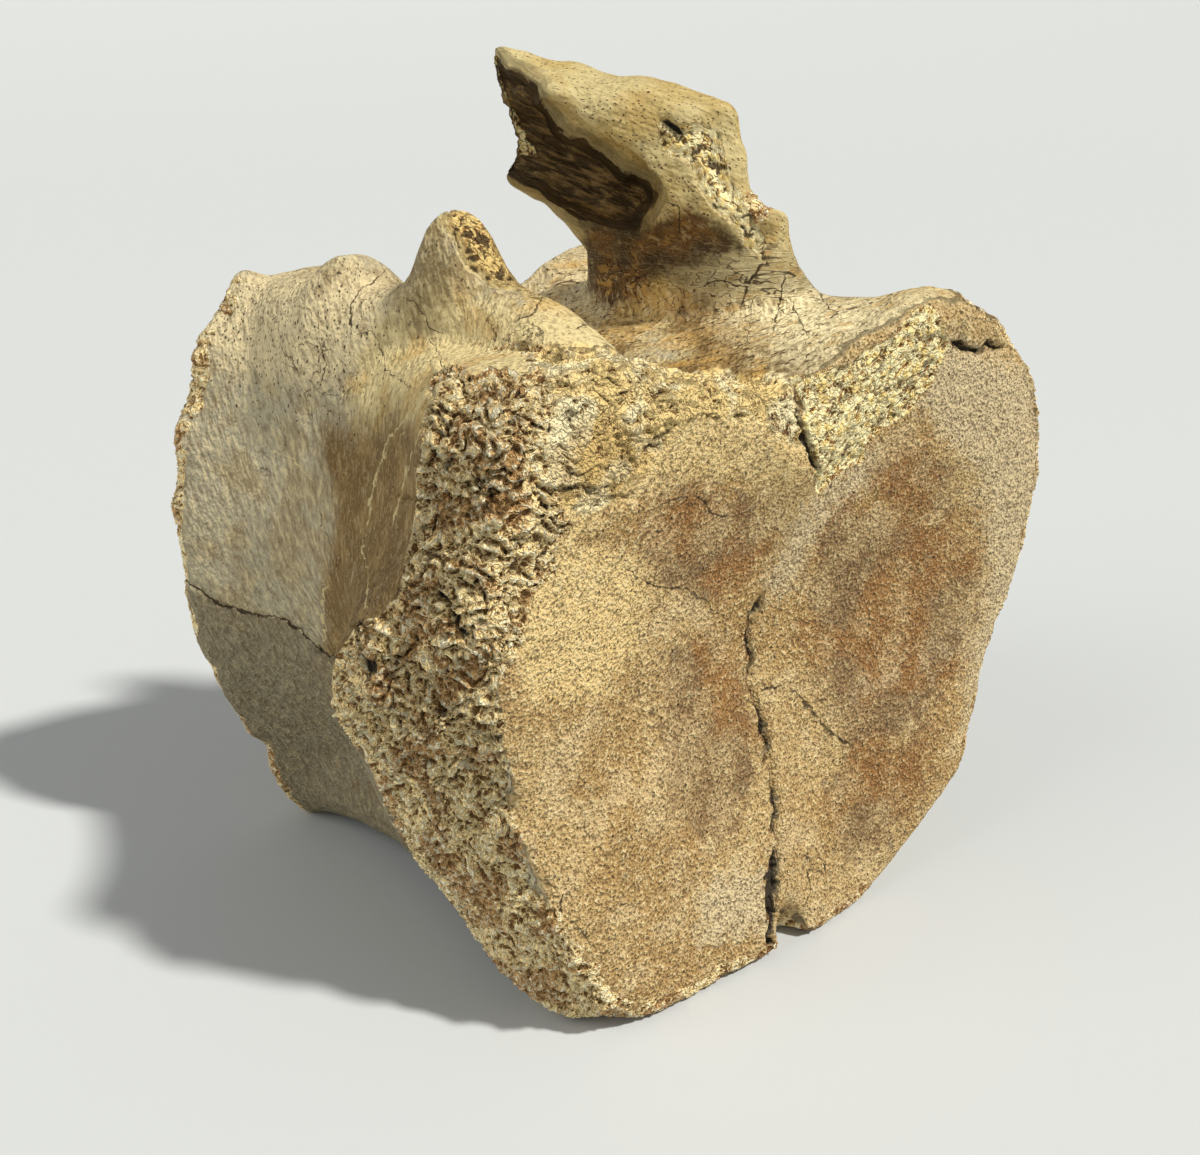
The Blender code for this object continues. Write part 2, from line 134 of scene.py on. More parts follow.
NUB = (
    (741, 200), (750, 191), (762, 195), (770, 206), (766, 220), (752, 227), (743, 216),
)  # fmt: skip
HOLE = (
    (658, 120), (667, 116), (680, 126), (688, 136), (678, 138), (665, 128),
)  # fmt: skip
BROWN = (
    (320, 392), (352, 366), (392, 344), (430, 326), (470, 340), (470, 760), (330, 700), (322, 650),
    (324, 624), (320, 592), (332, 544), (336, 500), (322, 464), (316, 420),
)  # fmt: skip
# The lower side below its crack, where it turns under: painted shade
LOW_SIDE = (
    (150, 572), (175, 582), (200, 592), (219, 604), (257, 615), (282, 618), (300, 630), (324, 655),
    (470, 660), (470, 1000), (150, 1000),
)  # fmt: skip
STAINED_FOOT = (
    (584, 222), (640, 226), (690, 208), (735, 232), (748, 248), (715, 258), (672, 268), (650, 284),
    (630, 306), (600, 306), (584, 280),
)  # fmt: skip

# Borders of differently stained parts that the viewpoint shows; the stub's darker flank among them is painted
# shade, and the front face's pale right rim is partly painted light
STAINS = {
    "rust": (
        ((650, 500), (690, 486), (752, 500), (776, 540), (740, 590), (700, 604), (660, 580),
         (640, 540)),
        ((668, 650), (704, 632), (744, 668), (758, 760), (738, 830), (700, 850), (668, 800),
         (656, 720)),
        ((812, 560), (842, 500), (930, 512), (980, 560), (968, 660), (905, 742), (850, 756),
         (820, 700), (800, 640)),
        ((870, 468), (910, 440), (952, 470), (950, 520), (890, 520)),
        ((850, 756), (905, 742), (935, 720), (925, 790), (880, 850), (840, 870), (826, 800)),
    ),
    "sandy": (
        ((596, 420), (640, 396), (720, 392), (790, 404), (812, 450), (800, 480), (752, 476),
         (690, 478), (640, 496), (590, 530), (560, 560), (556, 500)),
        ((540, 560), (580, 540), (640, 560), (640, 640), (600, 700), (530, 700), (510, 640)),
    ),
    "wan": (
        # The front face's right rim: greyer bone, paled further as painted light where the dished face turns
        # towards the light
        ((930, 322), (1040, 380), (1046, 560), (1010, 680), (968, 740), (966, 660), (990, 560),
         (976, 470), (920, 410)),
        ((818, 492), (870, 444), (884, 470), (820, 540), (780, 600), (764, 590), (784, 540)),
        ((850, 686), (900, 660), (966, 620), (972, 640), (900, 690), (846, 704)),
        ((700, 880), (770, 870), (770, 930), (700, 950)),
    ),
    "ochre": (
        ((350, 440), (440, 440), (500, 420), (560, 400), (640, 380), (640, 262), (560, 284),
         (520, 304), (470, 292), (440, 268), (410, 290), (370, 330), (352, 380)),
    ),
    "olive_shade": (
        # Painted shade on the stub's left flank, which faces away from the main light
        ((396, 316), (404, 270), (420, 226), (436, 200), (452, 200), (448, 236), (462, 262),
         (484, 288), (458, 294), (436, 310), (414, 334)),
        ((284, 262), (300, 250), (330, 262), (322, 276)),
    ),
    "dusky": (
        ((560, 286), (600, 296), (650, 280), (690, 290), (716, 322), (760, 352), (740, 374),
         (660, 352), (600, 330)),
    ),
    "blanched": (
        ((700, 268), (740, 250), (775, 256), (830, 290), (900, 296), (936, 300), (905, 318),
         (866, 348), (812, 372), (770, 352), (722, 312)),
    ),
    "cream": (
        ((190, 300), (232, 270), (330, 262), (372, 268), (400, 300), (372, 340), (330, 384),
         (260, 380), (204, 350)),
        ((333, 256), (351, 251), (362, 264), (372, 276), (345, 284), (328, 280)),
    ),
    "brushed": (
        ((530, 520), (600, 440), (660, 400), (780, 420), (790, 470), (700, 500), (640, 560),
         (560, 640)),
    ),
}  # fmt: skip

# Marks whose borders fade more slowly than the others; one of them is the painted shade on the stub's flank
SOFTER = {"dusky": 0.22, "blanched": 0.25, "olive_shade": 0.4}

# Cracks that gape, as they show from the viewpoint, with their widths and depths in millimetres
OPEN_CRACKS = (
    (((774, 576), (764, 598), (752, 616), (751, 660), (750, 690), (757, 706), (768, 740), (774, 776),
      (776, 850)),
     0.8, 1.8),
    (((776, 850), (772, 880), (774, 905), (773, 935), (775, 960)), 1.7, 2.6),
    (((382, 485), (410, 500), (470, 496), (506, 492), (560, 488), (592, 492), (612, 497), (640, 500)),
     0.5, 1.0),
    (((954, 338), (962, 348), (975, 352), (990, 344), (1006, 350)), 0.9, 1.6),
    (((793, 384), (800, 404), (804, 423), (808, 446), (815, 462), (822, 478)), 1.0, 1.8),
    (((353, 620), (362, 650), (372, 668)), 1.6, 2.2),
    (((430, 590), (446, 604), (458, 630), (470, 634)), 1.4, 2.0),
    (((645, 372), (660, 384), (668, 396)), 0.8, 1.2),
    (((170, 574), (200, 590), (219, 604), (240, 610)), 0.4, 0.7),
    (((284, 618), (302, 632), (324, 655), (338, 658)), 0.6, 1.0),
)  # fmt: skip

# Hairline cracks, with their widths in millimetres
HAIRLINES = (
    (((767, 688), (789, 686), (806, 702), (820, 722), (838, 738), (853, 745)), 0.55),
    (((620, 562), (636, 576), (656, 587), (688, 588), (702, 598)), 0.4),
    (((704, 608), (720, 612), (727, 622)), 0.3),
    (((664, 504), (680, 496), (704, 498), (712, 514), (729, 516)), 0.4),
    (((800, 848), (806, 858), (824, 857), (826, 874)), 0.3),
    (((808, 872), (812, 888), (806, 902)), 0.25),
    (((558, 907), (583, 932), (588, 944), (600, 950)), 0.35),
    (((604, 913), (620, 905), (638, 903)), 0.3),
    (((548, 880), (556, 893), (570, 896)), 0.25),
    (((384, 272), (372, 284), (360, 288), (352, 304), (351, 326)), 0.28),
    (((320, 344), (327, 360), (324, 376), (318, 390)), 0.22),
    (((372, 330), (383, 352), (384, 368), (396, 378), (410, 386)), 0.22),
    (((170, 574), (200, 590), (219, 604), (240, 610), (262, 616), (284, 618), (302, 632), (324, 655),
      (338, 658)),
     0.45),
    (((516, 318), (532, 315), (541, 300)), 0.35),
    (((578, 326), (588, 321), (600, 332)), 0.3),
    (((430, 340), (440, 356), (444, 372)), 0.25),
    (((410, 300), (424, 310), (428, 326), (440, 332)), 0.25),
    (((672, 204), (678, 207), (680, 228)), 0.45),
    (((704, 284), (720, 280), (742, 287)), 0.4),
    (((765, 262), (752, 278), (744, 298), (738, 312)), 0.5),
    (((785, 280), (779, 304), (774, 330)), 0.35),
    (((793, 304), (799, 318), (806, 334)), 0.35),
    (((753, 304), (749, 322), (747, 344)), 0.3),
    (((820, 294), (828, 306), (836, 312)), 0.25),
)  # fmt: skip

# Pale raised lines, like scratches filled with mineral
PALE_LINES = (
    (((427, 388), (410, 412), (388, 441), (378, 470), (370, 503), (366, 530)), 0.28),
    (((430, 412), (418, 436), (409, 464), (401, 494), (393, 521)), 0.28),
    (((362, 548), (368, 580), (366, 610)), 0.25),
    (((324, 590), (322, 610), (326, 640)), 0.45),
    (((276, 450), (296, 462), (310, 480)), 0.35),
    (((486, 38), (507, 68), (518, 70), (538, 83), (542, 99), (553, 113), (559, 126), (571, 134),
      (585, 137)),
     0.9),
    (((585, 137), (598, 148), (611, 158), (625, 169), (636, 173), (650, 180)), 0.9),
    (((684, 158), (690, 169), (700, 189), (712, 209), (728, 221), (738, 233)), 0.8),
    (((444, 204), (438, 222), (452, 240), (465, 264), (488, 284)), 0.8),
)  # fmt: skip

# Lumps and dents: where, how far they reach and how high they stand, in millimetres
SWELLINGS = (
    ((53.5, 1.0, 18.0), 6.0, 1.2),
    ((51.0, 0.0, 26.0), 6.0, -0.9),
    ((43.0, 0.0, 9.0), 6.0, 0.8),
)


# Sums over many points at once


def rise(low, high, value):
    """0 at low, 1 at high, and a smooth rise between; with low over high it falls instead."""
    share = np.clip((value - low) / (high - low), 0.0, 1.0)
    return share * share * (3.0 - 2.0 * share)


def draw(i, j, k, seed):
    """An even random whole number from 0 to 2**32 for each whole-number place."""
    h = (i * 374761393 + j * 668265263 + k * 974711 + seed * 1274126177) & 0xFFFFFFFF
    h = ((h ^ (h >> 13)) * 1274126177) & 0xFFFFFFFF
    h = ((h ^ (h >> 15)) * 668265263) & 0xFFFFFFFF
    return h ^ (h >> 16)


# The middles of a cube's twelve edges
SLOPES = np.array([
    (1, 1, 0), (-1, 1, 0), (1, -1, 0), (-1, -1, 0), (1, 0, 1), (-1, 0, 1),
    (1, 0, -1), (-1, 0, -1), (0, 1, 1), (0, -1, 1), (0, 1, -1), (0, -1, -1),
])  # fmt: skip


def soft_noise(places, size, seed):
    """Smooth noise from about -1 to 1 whose lumps are about size across."""
    at = places / size + seed * 17.31
    low = np.floor(at).astype(np.int64)
    part = at - low
    share = part * part * part * (part * (part * 6.0 - 15.0) + 10.0)
    total = np.zeros(len(places))
    for corner in range(8):
        step = np.array([corner & 1, corner >> 1 & 1, corner >> 2 & 1])
        weight = np.prod(np.where(step, share, 1.0 - share), axis=1)
        slope = SLOPES[draw(*(low + step).T, seed) % 12]
        total += weight * np.sum(slope * (part - step), axis=1)
    return total * 1.4


def rough_noise(places, size, seed, layers=3):
    """Layers of smooth noise, each half as large and half as strong as the one before."""
    return sum(soft_noise(places, size / 2 ** n, seed + n) / 2 ** n for n in range(layers))


def ridges(places, size, seed, width=0.35):
    """Sharp crests that wind between rounded hollows: 1 on the crests and 0 in the hollows."""
    return 1.0 - np.clip(np.abs(soft_noise(places, size, seed)) / width, 0.0, 1.0)


def shaken(places, size, amount, seed):
    """Places moved about by noise, so that straight patterns bend."""
    shift = np.stack([rough_noise(places, size, seed + 5 * n, 2) for n in range(3)], axis=1)
    return places + amount * shift


def line_reach(places, line):
    """Each flat place against a line of stretches: its distance, its side as -1 or 1, and the share along."""
    best = np.full(len(places), FAR)
    side = np.ones(len(places))
    along = np.zeros(len(places))
    line = np.array(line, float)
    lengths = np.linalg.norm(np.diff(line, axis=0), axis=1)
    gone = 0.0
    for a, b, length in zip(line, line[1:], lengths):
        ahead = (b - a) / length
        off = places - a
        share = np.clip(off @ ahead, 0.0, length)
        far = np.linalg.norm(off - share[:, None] * ahead, axis=1)
        closer = far < best
        best = np.where(closer, far, best)
        turn = np.where(off[:, 0] * ahead[1] > off[:, 1] * ahead[0], 1.0, -1.0)
        side = np.where(closer, turn, side)
        along = np.where(closer, (gone + share) / lengths.sum(), along)
        gone += length
    return best, side, along


def within(places, border):
    """How far each flat place is within a closed border, in millimetres; negative outside."""
    x, y = places.T
    odd = np.zeros(len(places), bool)
    for (x0, y0), (x1, y1) in zip(border, border[1:] + border[:1]):
        if y0 == y1:
            continue
        spans = (y0 > y) != (y1 > y)
        odd ^= spans & (x < (x1 - x0) * (y - y0) / (y1 - y0) + x0)
    far = line_reach(places, border + border[:1])[0] / UNITS
    return np.where(odd, far, -far)


# The viewpoint


def sight_axes():
    """Unit vectors to the right, up and ahead as seen from the viewpoint."""
    right = np.array((math.cos(SIGHT_TURN), -math.sin(SIGHT_TURN), 0.0))
    level = np.array((math.sin(SIGHT_TURN), math.cos(SIGHT_TURN), 0.0))
    up = level * math.sin(SIGHT_TIP) + (0.0, 0.0, math.cos(SIGHT_TIP))
    ahead = level * math.cos(SIGHT_TIP) - (0.0, 0.0, math.sin(SIGHT_TIP))
    return right, up, ahead


def drawn(places, normals):
    """Where each place shows from the viewpoint, and how squarely its surface faces it, from -1 to 1."""
    right, up, ahead = sight_axes()
    off = places - SIGHT_PLACE
    far = off @ ahead
    flat = SIGHT_MIDDLE + SIGHT_SCALE * np.stack([off @ right / far, -(off @ up) / far], axis=1)
    facing = -np.sum(normals * off, axis=1) / np.linalg.norm(off, axis=1)
    return flat, facing


# What covers the bone where


def soft_share(distance):
    """A share from 0 to 1 for the material to sharpen: a half on a border, 1 well inside it."""
    return np.clip(0.5 + distance / 4.0, 0.0, 1.0)


def regions(places, normals):
    """How strongly each kind of surface shows at each place, as named shares from 0 to 1."""
    x, depth, z = places.T
    nx, ny, nz = normals.T
    flat, facing = drawn(places, normals)
    reach = 46.0 - 17.0 * rise(62.0, 42.0, z)
    front = rise(reach, reach - 8.0, depth) * rise(-0.05, 0.1, facing)
    wander = 1.5 * rough_noise(places, 6.0, 3, 2)
    far_side = rise(0.1, -0.1, facing)

    def shown(border, ragged):
        return soft_share(within(flat, border) + ragged * wander)

    band = shown(BAND, 1.0) * front * rise(0.98, 0.90, nz)
    band *= np.maximum(rise(0.35, 0.1, ny), rise(96.0, 104.0, z))
    # Where the bevel turns away from the viewpoint, and round the foot
    turned = rise(0.06, -0.06, facing) * rise(-30.0, -40.0, x) * rise(-0.02, -0.2, ny)
    band = np.maximum(band, turned * rise(40.0, 32.0, depth) * rise(106.0, 98.0, z))
    top_edge = shown(TOP_EDGE, 1.0) * rise(30.0, 20.0, depth) * rise(70.0, 78.0, z)
    patch = shown(PATCH, 0.4) * rise(22.0, 14.0, depth) * rise(-6.0, 0.0, x)
    patch *= rise(-0.05, 0.1, facing)
    high = rise(108.0, 114.0, z) * rise(-24.0, -18.0, x)
    strip = shown(STRIP, 0.4) * high * rise(0.0, 0.2, facing)
    hollow = shown(HOLLOW, 0.3) * high * rise(-0.2, 0.0, facing)
    hole = shown(HOLE, 0.0) * high * rise(0.0, 0.2, facing)
    stub = shown(STUB_BREAK, 0.5) * rise(104.0, 110.0, z) * rise(-16.0, -20.0, x) * rise(0.0, 0.15, facing)
    nub = shown(NUB, 0.3) * high * rise(0.0, 0.2, facing)
    # Worn edges that the viewpoint doesn't show in full
    right_rim = rise(16.0, 9.0, depth) * rise(0.1, 0.45, nx) * rise(0.95, 0.85, np.abs(nz))
    right_edge = rise(12.0, 7.0, depth) * rise(0.2, 0.6, nx) * rise(-0.98, -0.8, ny)
    right_rim = np.maximum(right_rim * rise(20.0, 32.0, x), right_edge)
    back_rim = rise(84.5, 88.0, depth + 0.8 * wander) * rise(0.9, 0.7, ny) * rise(0.75, 0.5, nz)
    foot = rise(6.0, 2.0, z + wander) * rise(30.0, 16.0, depth)
    far_break = far_side * rise(116.0, 122.0, z) * rise(0.55, 0.8, np.abs(ny) + 0.5 * np.abs(nz)) * 0.7
    canal = rise(0.0, 0.45, nz + 0.7 * np.abs(nx)) * rise(-26.0, -20.0, x)
    canal *= rise(44.0, 30.0, x - 0.3 * (z - 100.0))
    canal *= rise(2.0, 8.0, depth) * rise(126.0, 112.0, z) * rise(92.0, 96.0, z) * rise(92.0, 84.0, depth)
    return {
        "band": band,
        "top": top_edge * (1.0 - band) * (1.0 - patch),
        "rim": np.maximum.reduce([right_rim, back_rim, nub, 0.8 * foot]) * (1.0 - band),
        "patch": patch,
        "hollow": hollow,
        "hole": hole,
        "strip": np.maximum(np.maximum(strip, stub), far_break) * (1.0 - hollow),
        "arch": rise(108.0, 118.0, z) * rise(-14.0, -8.0, x) * rise(14.0, 20.0, depth) * (1.0 - hollow),
        "canal": canal * (1.0 - patch) * (1.0 - hollow),
    }


def scaled(places, size, wander, seed):
    """Scales that overhang the ones below: 0 in the gaps and 1 on their lips, which catch the light."""
    phase = places[:, 2] / size + 0.12 * places[:, 0] / size
    phase += wander * soft_noise(places, 1.55 * size, seed)
    share = phase - np.floor(phase)
    return np.minimum(share / 0.2, (1.0 - share) / 0.8) ** 0.8


def crumble(places, fineness):
    """Relief of bone without its skin, in millimetres, how pale its crests are painted, partly as painted
    highlight, and how much painted shade its gaps take.

    At a fineness of 0 it is scales with deep gaps between, at 1 a low net of thin ridges.
    """
    bent = shaken(places, 3.6, 0.9, 40)
    scales = scaled(bent, 2.6, 1.2, 11)
    lesser = scaled(bent, 1.3, 1.1, 17)
    crests = ridges(bent, 2.0, 23, 0.5)
    pits = rise(0.42, 0.75, soft_noise(bent * (1.0, 1.0, 1.5), 3.0, 29))
    heights = 1.0 + 0.4 * soft_noise(places, 7.0, 31)
    coarse = heights * scales + 0.3 * lesser + 0.3 * crests - 0.5 * pits - 1.05
    fine = 0.4 * scales + 0.3 * lesser + 0.4 * crests - 0.3 * pits - 0.75
    swell = 0.9 * (1.0 - 0.5 * fineness) * rough_noise(places, 9.0, 5, 1)
    relief = (1.0 - fineness) * coarse + fineness * fine + swell
    bright = np.clip(0.62 * scales ** 2 + 0.30 * lesser ** 2 + 0.40 * crests ** 2, 0.0, 1.0)
    # Painted shade: the gaps between scales, the pits and the low places between lesser scales are darkened
    deep = rise(0.24, 0.02, scales) * rise(-0.1, 0.35, soft_noise(places, 5.0, 37))
    dark = np.maximum(np.maximum(deep, 0.5 * pits), 0.4 * rise(0.25, 0.0, lesser) * rise(0.5, 0.2, scales))
    return relief, bright, dark * (1.0 - 0.45 * fineness)


def curled(seed, turn, stretch):
    """Work for where(): a mat of curled fibres, as how high each place is in it from 0 to 1."""

    def work(places):
        bent = shaken(places, 2.2, 0.9, seed) @ turn * (stretch, 1.0, 1.0)
        return (np.maximum(ridges(bent, 2.3, seed + 1, 0.30), 0.85 * ridges(bent, 1.6, seed + 2, 0.32)),)

    return work


def where(share, work, *values):
    """What work gives for the places whose share isn't nothing, as whole arrays that are 0 elsewhere."""
    chosen = share > 0.01
    filled = []
    for result in work(*(value[chosen] for value in values)):
        whole = np.zeros(len(share))
        whole[chosen] = result
        filled.append(whole)
    return filled


def turned_to(direction):
    """A turn that lays the given direction along the first axis, for stretching a pattern."""
    ahead = Vector(direction).normalized()
    side = ahead.orthogonal().normalized()
    return np.array([ahead, side, ahead.cross(side)]).T


ARCH_TURN = turned_to((-34.0, 21.0, 16.5))  # along the arch, up to its tip
EDGE_TURN = turned_to((0.85, 0.0, 0.53))  # along the front's top edge, up to the right
# The same two turns for the material
ARCH_EULER = (0.0, math.radians(-22.4), math.radians(148.3))
EDGE_EULER = (0.0, math.radians(-31.9), 0.0)

# Breaks: how deep they lie, how much painted shade their gaps take, and how their fibres run and are drawn
# out
BREAKS = (("patch", 0.8, 0.45, EDGE_TURN, 0.4), ("strip", 0.45, 0.6, ARCH_TURN, 0.7))


def open_cracks(places, normals):
    """How deep the gaping cracks cut at each place, in millimetres."""
    flat, facing = drawn(places, normals)
    bent = flat + 4.0 * np.stack([rough_noise(places, 3.4, 60 + n) for n in range(2)], axis=1)
    cut = np.zeros(len(places))
    for line, width, depth in OPEN_CRACKS:
        away, _, along = line_reach(bent, line)
        ends = rise(0.0, 0.12, along) * rise(1.0, 0.9, along) if width < 1.5 else 1.0
        half = (0.5 * width + 0.35) * (0.6 + 0.4 * ends)
        cut = np.maximum(cut, rise(1.0, 0.25, away / UNITS / half) * depth * (0.4 + 0.6 * ends))
    near = (places[:, 1] < 34.0) | (places[:, 0] < -22.0)
    return cut * rise(0.05, 0.2, facing) * near * (0.75 + 0.5 * soft_noise(places, 4.0, 66))


def weathered(places, normals, shape):
    """New places for the bone's surface, and named shares from 0 to 1 for its colour: crests paled partly as
    painted highlight, painted shade in gaps, and painted shade in cut cracks.
    """
    areas = regions(places, normals)
    crumbled = np.maximum(areas["band"], np.maximum(areas["rim"], areas["top"]))
    fineness = np.maximum(rise(62.0, 34.0, places[:, 2]), 0.4 * areas["top"])
    relief, bright, dark = where(crumbled, crumble, places, fineness)
    band = rise(0.35, 0.65, areas["band"]) * shape.band_relief * MM
    rim = rise(0.35, 0.65, areas["rim"]) * shape.rim_relief * MM
    top = rise(0.35, 0.65, areas["top"]) * shape.top_relief * MM
    strength = np.maximum(band, np.maximum(rim, top))
    rough = strength * relief
    dark = dark * np.clip(strength, 0.0, 1.0)

    for name, depth, gap, turn, stretch in BREAKS:
        inner = rise(0.42, 0.58, areas[name])
        mat = where(inner, curled(71, turn, stretch), places)[0]
        rough += inner * depth * (shape.break_relief * MM * (mat - 1.0) - 0.5)
        # Fibres are painted paler by their height, partly as painted highlight
        bright = np.maximum(bright, inner * mat)
        # Painted shade in the gaps between the fibres
        dark = np.maximum(dark, inner * gap * rise(0.3, 0.0, mat))
    inner = rise(0.42, 0.58, areas["hollow"])
    streaks = where(inner, lambda p: (rough_noise(p @ ARCH_TURN * (0.25, 1.0, 1.0), 2.4, 75),), places)[0]
    rough += inner * shape.break_relief * MM * streaks
    furrows = where(areas["canal"], lambda p: (rough_noise(p * (1.0, 0.14, 1.0), 2.0, 81, 2),), places)[0]
    rough += FURROWS * furrows
    sound = 1.0 - np.clip(areas["band"] + areas["patch"] + areas["hollow"] + areas["rim"], 0.0, 1.0)
    uneven = rough_noise(places, 13.0, 91, 2) + 0.35 * soft_noise(places, 3.6, 95)
    rough += sound * shape.swell * MM * uneven
    for middle, reach, height in SWELLINGS:
        far = np.linalg.norm(places - middle, axis=1)
        rough += height * rise(reach, 0.0, far)

    cut = open_cracks(places, normals) + HOLE_DEPTH * rise(0.4, 0.9, areas["hole"])
    moved = places + normals * (rough - cut)[:, None]
    # The hollow goes in under the jagged edge of the arch, less so towards its lower lip
    flat, _ = drawn(places, normals)
    under = rise(-0.2, 0.5, within(flat, HOLLOW)) * rise(0.1, 0.5, areas["hollow"])
    under *= 1.0 - 0.75 * rise(60.0, 20.0, HOLLOW_LIP - flat[:, 1] - 0.3 * (640.0 - flat[:, 0]))
    moved += sight_axes()[2] * (under * shape.hollow_depth * MM)[:, None]
    # bright: paler crests, partly painted highlight; dark: painted shade in gaps; crack: painted shade inside
    # the cut cracks and the hole
    done = {"bright": bright, "dark": dark, "crack": rise(0.3, 1.2, cut)}
    fine = np.maximum.reduce([areas["band"], areas["top"], areas["patch"], areas["strip"], areas["hollow"]])
    return moved, done, np.maximum(fine, done["crack"]) > 0.3


# Meshes in and out of arrays


def mesh_places(mesh):
    """The places and normals of a mesh's points, in the bone's millimetres."""
    places = np.empty(len(mesh.vertices) * 3, np.float32)
    mesh.vertices.foreach_get("co", places)
    normals = np.empty(len(mesh.vertices) * 3, np.float32)
    mesh.vertex_normals.foreach_get("vector", normals)
    return places.reshape(-1, 3).astype(float) * MM - FACE_SHIFT, normals.reshape(-1, 3).astype(float)


def move_points(mesh, places):
    """Set a mesh's points from places in the bone's millimetres, inside the solid's own box."""
    places = np.clip((places + FACE_SHIFT) / MM, CAD_BOX[0], CAD_BOX[1])
    mesh.vertices.foreach_set("co", places.astype(np.float32).ravel())
    mesh.update()


def placed(context, name, mesh):
    """A new object of a mesh, in the scene, the only one selected and active, with doubled points joined."""
    bpy.ops.object.select_all(action="DESELECT")
    made = bpy.data.objects.new(name, mesh)
    context.scene.collection.objects.link(made)
    context.view_layer.objects.active = made
    made.select_set(True)
    bpy.ops.object.mode_set(mode="EDIT")
    bpy.ops.mesh.select_all(action="SELECT")
    bpy.ops.mesh.remove_doubles(threshold=SAME_PLACE)
    bpy.ops.object.mode_set(mode="OBJECT")
    return made


def add_modifier(kind, **settings):
    """Give the active object a modifier with its settings and apply it."""
    bpy.ops.object.modifier_add(type=kind)
    modifier = bpy.context.object.modifiers[-1]
    for name, value in settings.items():
        setattr(modifier, name, value)
    bpy.ops.object.modifier_apply(modifier=modifier.name)


# Materials


def colour(value):
    """Three numbers as an opaque colour."""
    return (*value, 1.0)


class Bench:
    """Puts nodes in a tree and joins them."""

    def __init__(self, tree):
        self.tree = tree
        self.ground = None

    def feed(self, socket, source):
        """Join a source to a socket, or set the socket's value; None leaves it alone."""
        if isinstance(source, bpy.types.NodeSocket):
            self.tree.links.new(source, socket)
        elif source is not None:
            socket.default_value = source

    def put(self, kind, *sources, **settings):
        """A node of a kind, with its inputs fed in order."""
        node = self.tree.nodes.new("ShaderNode" + kind)
        for name, value in settings.items():
            setattr(node, name, value)
        for socket, source in zip(node.inputs, sources):
            self.feed(socket, source)
        return node

    def math(self, operation, *sources):
        return self.put("Math", *sources, operation=operation).outputs[0]

    def chain(self, operation, sources):
        total = sources[0]
        for source in sources[1:]:
            total = self.math(operation, total, source)
        return total

    def times(self, *sources):
        return self.chain("MULTIPLY", sources)

    def plus(self, *sources):
        return self.chain("ADD", sources)

    def most(self, *sources):
        return self.chain("MAXIMUM", sources)

    def span(self, value, low, high, to_low=0.0, to_high=1.0):
        """The value carried smoothly from one range to another, held within it."""
        ends = (low, high, to_low, to_high)
        return self.put("MapRange", value, *ends, interpolation_type="SMOOTHSTEP").outputs[0]

    def noise(self, place, size, detail=2.0, rough=0.5, twist=0.0):
        node = self.put("TexNoise", noise_dimensions="3D")
        scale = self.math("DIVIDE", 1.0, size)
        values = {"Vector": place, "Scale": scale, "Detail": detail, "Roughness": rough, "Distortion": twist}
        for name, value in values.items():
            self.feed(node.inputs[name], value)
        return node.outputs["Fac"]

    def cells(self, place, size):
        node = self.put("TexVoronoi", feature="F1")
        self.feed(node.inputs["Vector"], place)
        self.feed(node.inputs["Scale"], self.math("DIVIDE", 1.0, size))
        return node

    def bent(self, place, size, amount):
        """The place moved about by noise of a size."""
        noise = self.put("TexNoise", noise_dimensions="3D")
        for name, value in (("Vector", place), ("Scale", self.math("DIVIDE", 1.0, size)), ("Detail", 0.0)):
            self.feed(noise.inputs[name], value)
        shift = self.put("VectorMath", noise.outputs["Color"], (-0.5, -0.5, -0.5), operation="ADD")
        sized = self.put("VectorMath", shift.outputs[0], operation="SCALE")
        self.feed(sized.inputs["Scale"], amount)
        return self.put("VectorMath", place, sized.outputs[0], operation="ADD").outputs[0]

    def stretched(self, place, scale, turn=(0.0, 0.0, 0.0)):
        """The place turned back by a turn, then squeezed, so that a pattern is drawn out along one way."""
        mapped = self.put("Mapping", place, vector_type="TEXTURE")
        mapped.inputs["Rotation"].default_value = turn
        return self.put("VectorMath", mapped.outputs[0], scale, operation="MULTIPLY").outputs[0]

    def blend(self, share, under, over):
        """One colour laid over another, each a socket or three numbers."""
        node = self.put("Mix", data_type="RGBA", clamp_factor=True)
        self.feed(node.inputs[0], share)
        for socket, shade in ((node.inputs[6], under), (node.inputs[7], over)):
            self.feed(socket, shade if isinstance(shade, bpy.types.NodeSocket) else colour(shade))
        return node.outputs[2]

    def lay(self, share, over):
        """Lay a colour over the ground, which is all the colours laid so far."""
        self.ground = self.blend(share, self.ground, over)

    def mask(self, name):
        return self.put("Attribute", attribute_name=name).outputs["Fac"]

    def between(self, share, first, second):
        """A place part of the way from one to another."""
        return self.put("Mix", share, None, None, None, first, second, data_type="VECTOR").outputs[1]

    def group(self, group, *sources):
        node = self.put("Group", node_tree=group)
        for socket, source in zip(node.inputs, sources):
            self.feed(socket, source)
        return node.outputs


def new_group(name, inputs, outputs):
    """A shader node group and a bench in it: inputs of None are vectors, the rest and all outputs numbers."""
    group = bpy.data.node_groups.new(name, "ShaderNodeTree")
    for title, value in inputs:
        kind = "NodeSocketVector" if value is None else "NodeSocketFloat"
        socket = group.interface.new_socket(name=title, in_out="INPUT", socket_type=kind)
        if value is not None:
            socket.default_value = value
    for title in outputs:
        group.interface.new_socket(name=title, in_out="OUTPUT", socket_type="NodeSocketFloat")
    bench = Bench(group)
    given, result = group.nodes.new("NodeGroupInput"), group.nodes.new("NodeGroupOutput")
    return group, bench, given.outputs, result.inputs


def crest_group():
    """Sharp crests that wind through noise: 1 on them, 0 in the hollows between."""
    inputs = (("Place", None), ("Size", 1.0), ("Width", 0.1))
    group, b, given, result = new_group("Crests", inputs, ("Crest",))
    off = b.math("ABSOLUTE", b.math("SUBTRACT", b.noise(given[0], given[1], 1.0), 0.5))
    b.feed(result["Crest"], b.span(off, given[2], 0.0))
    return group


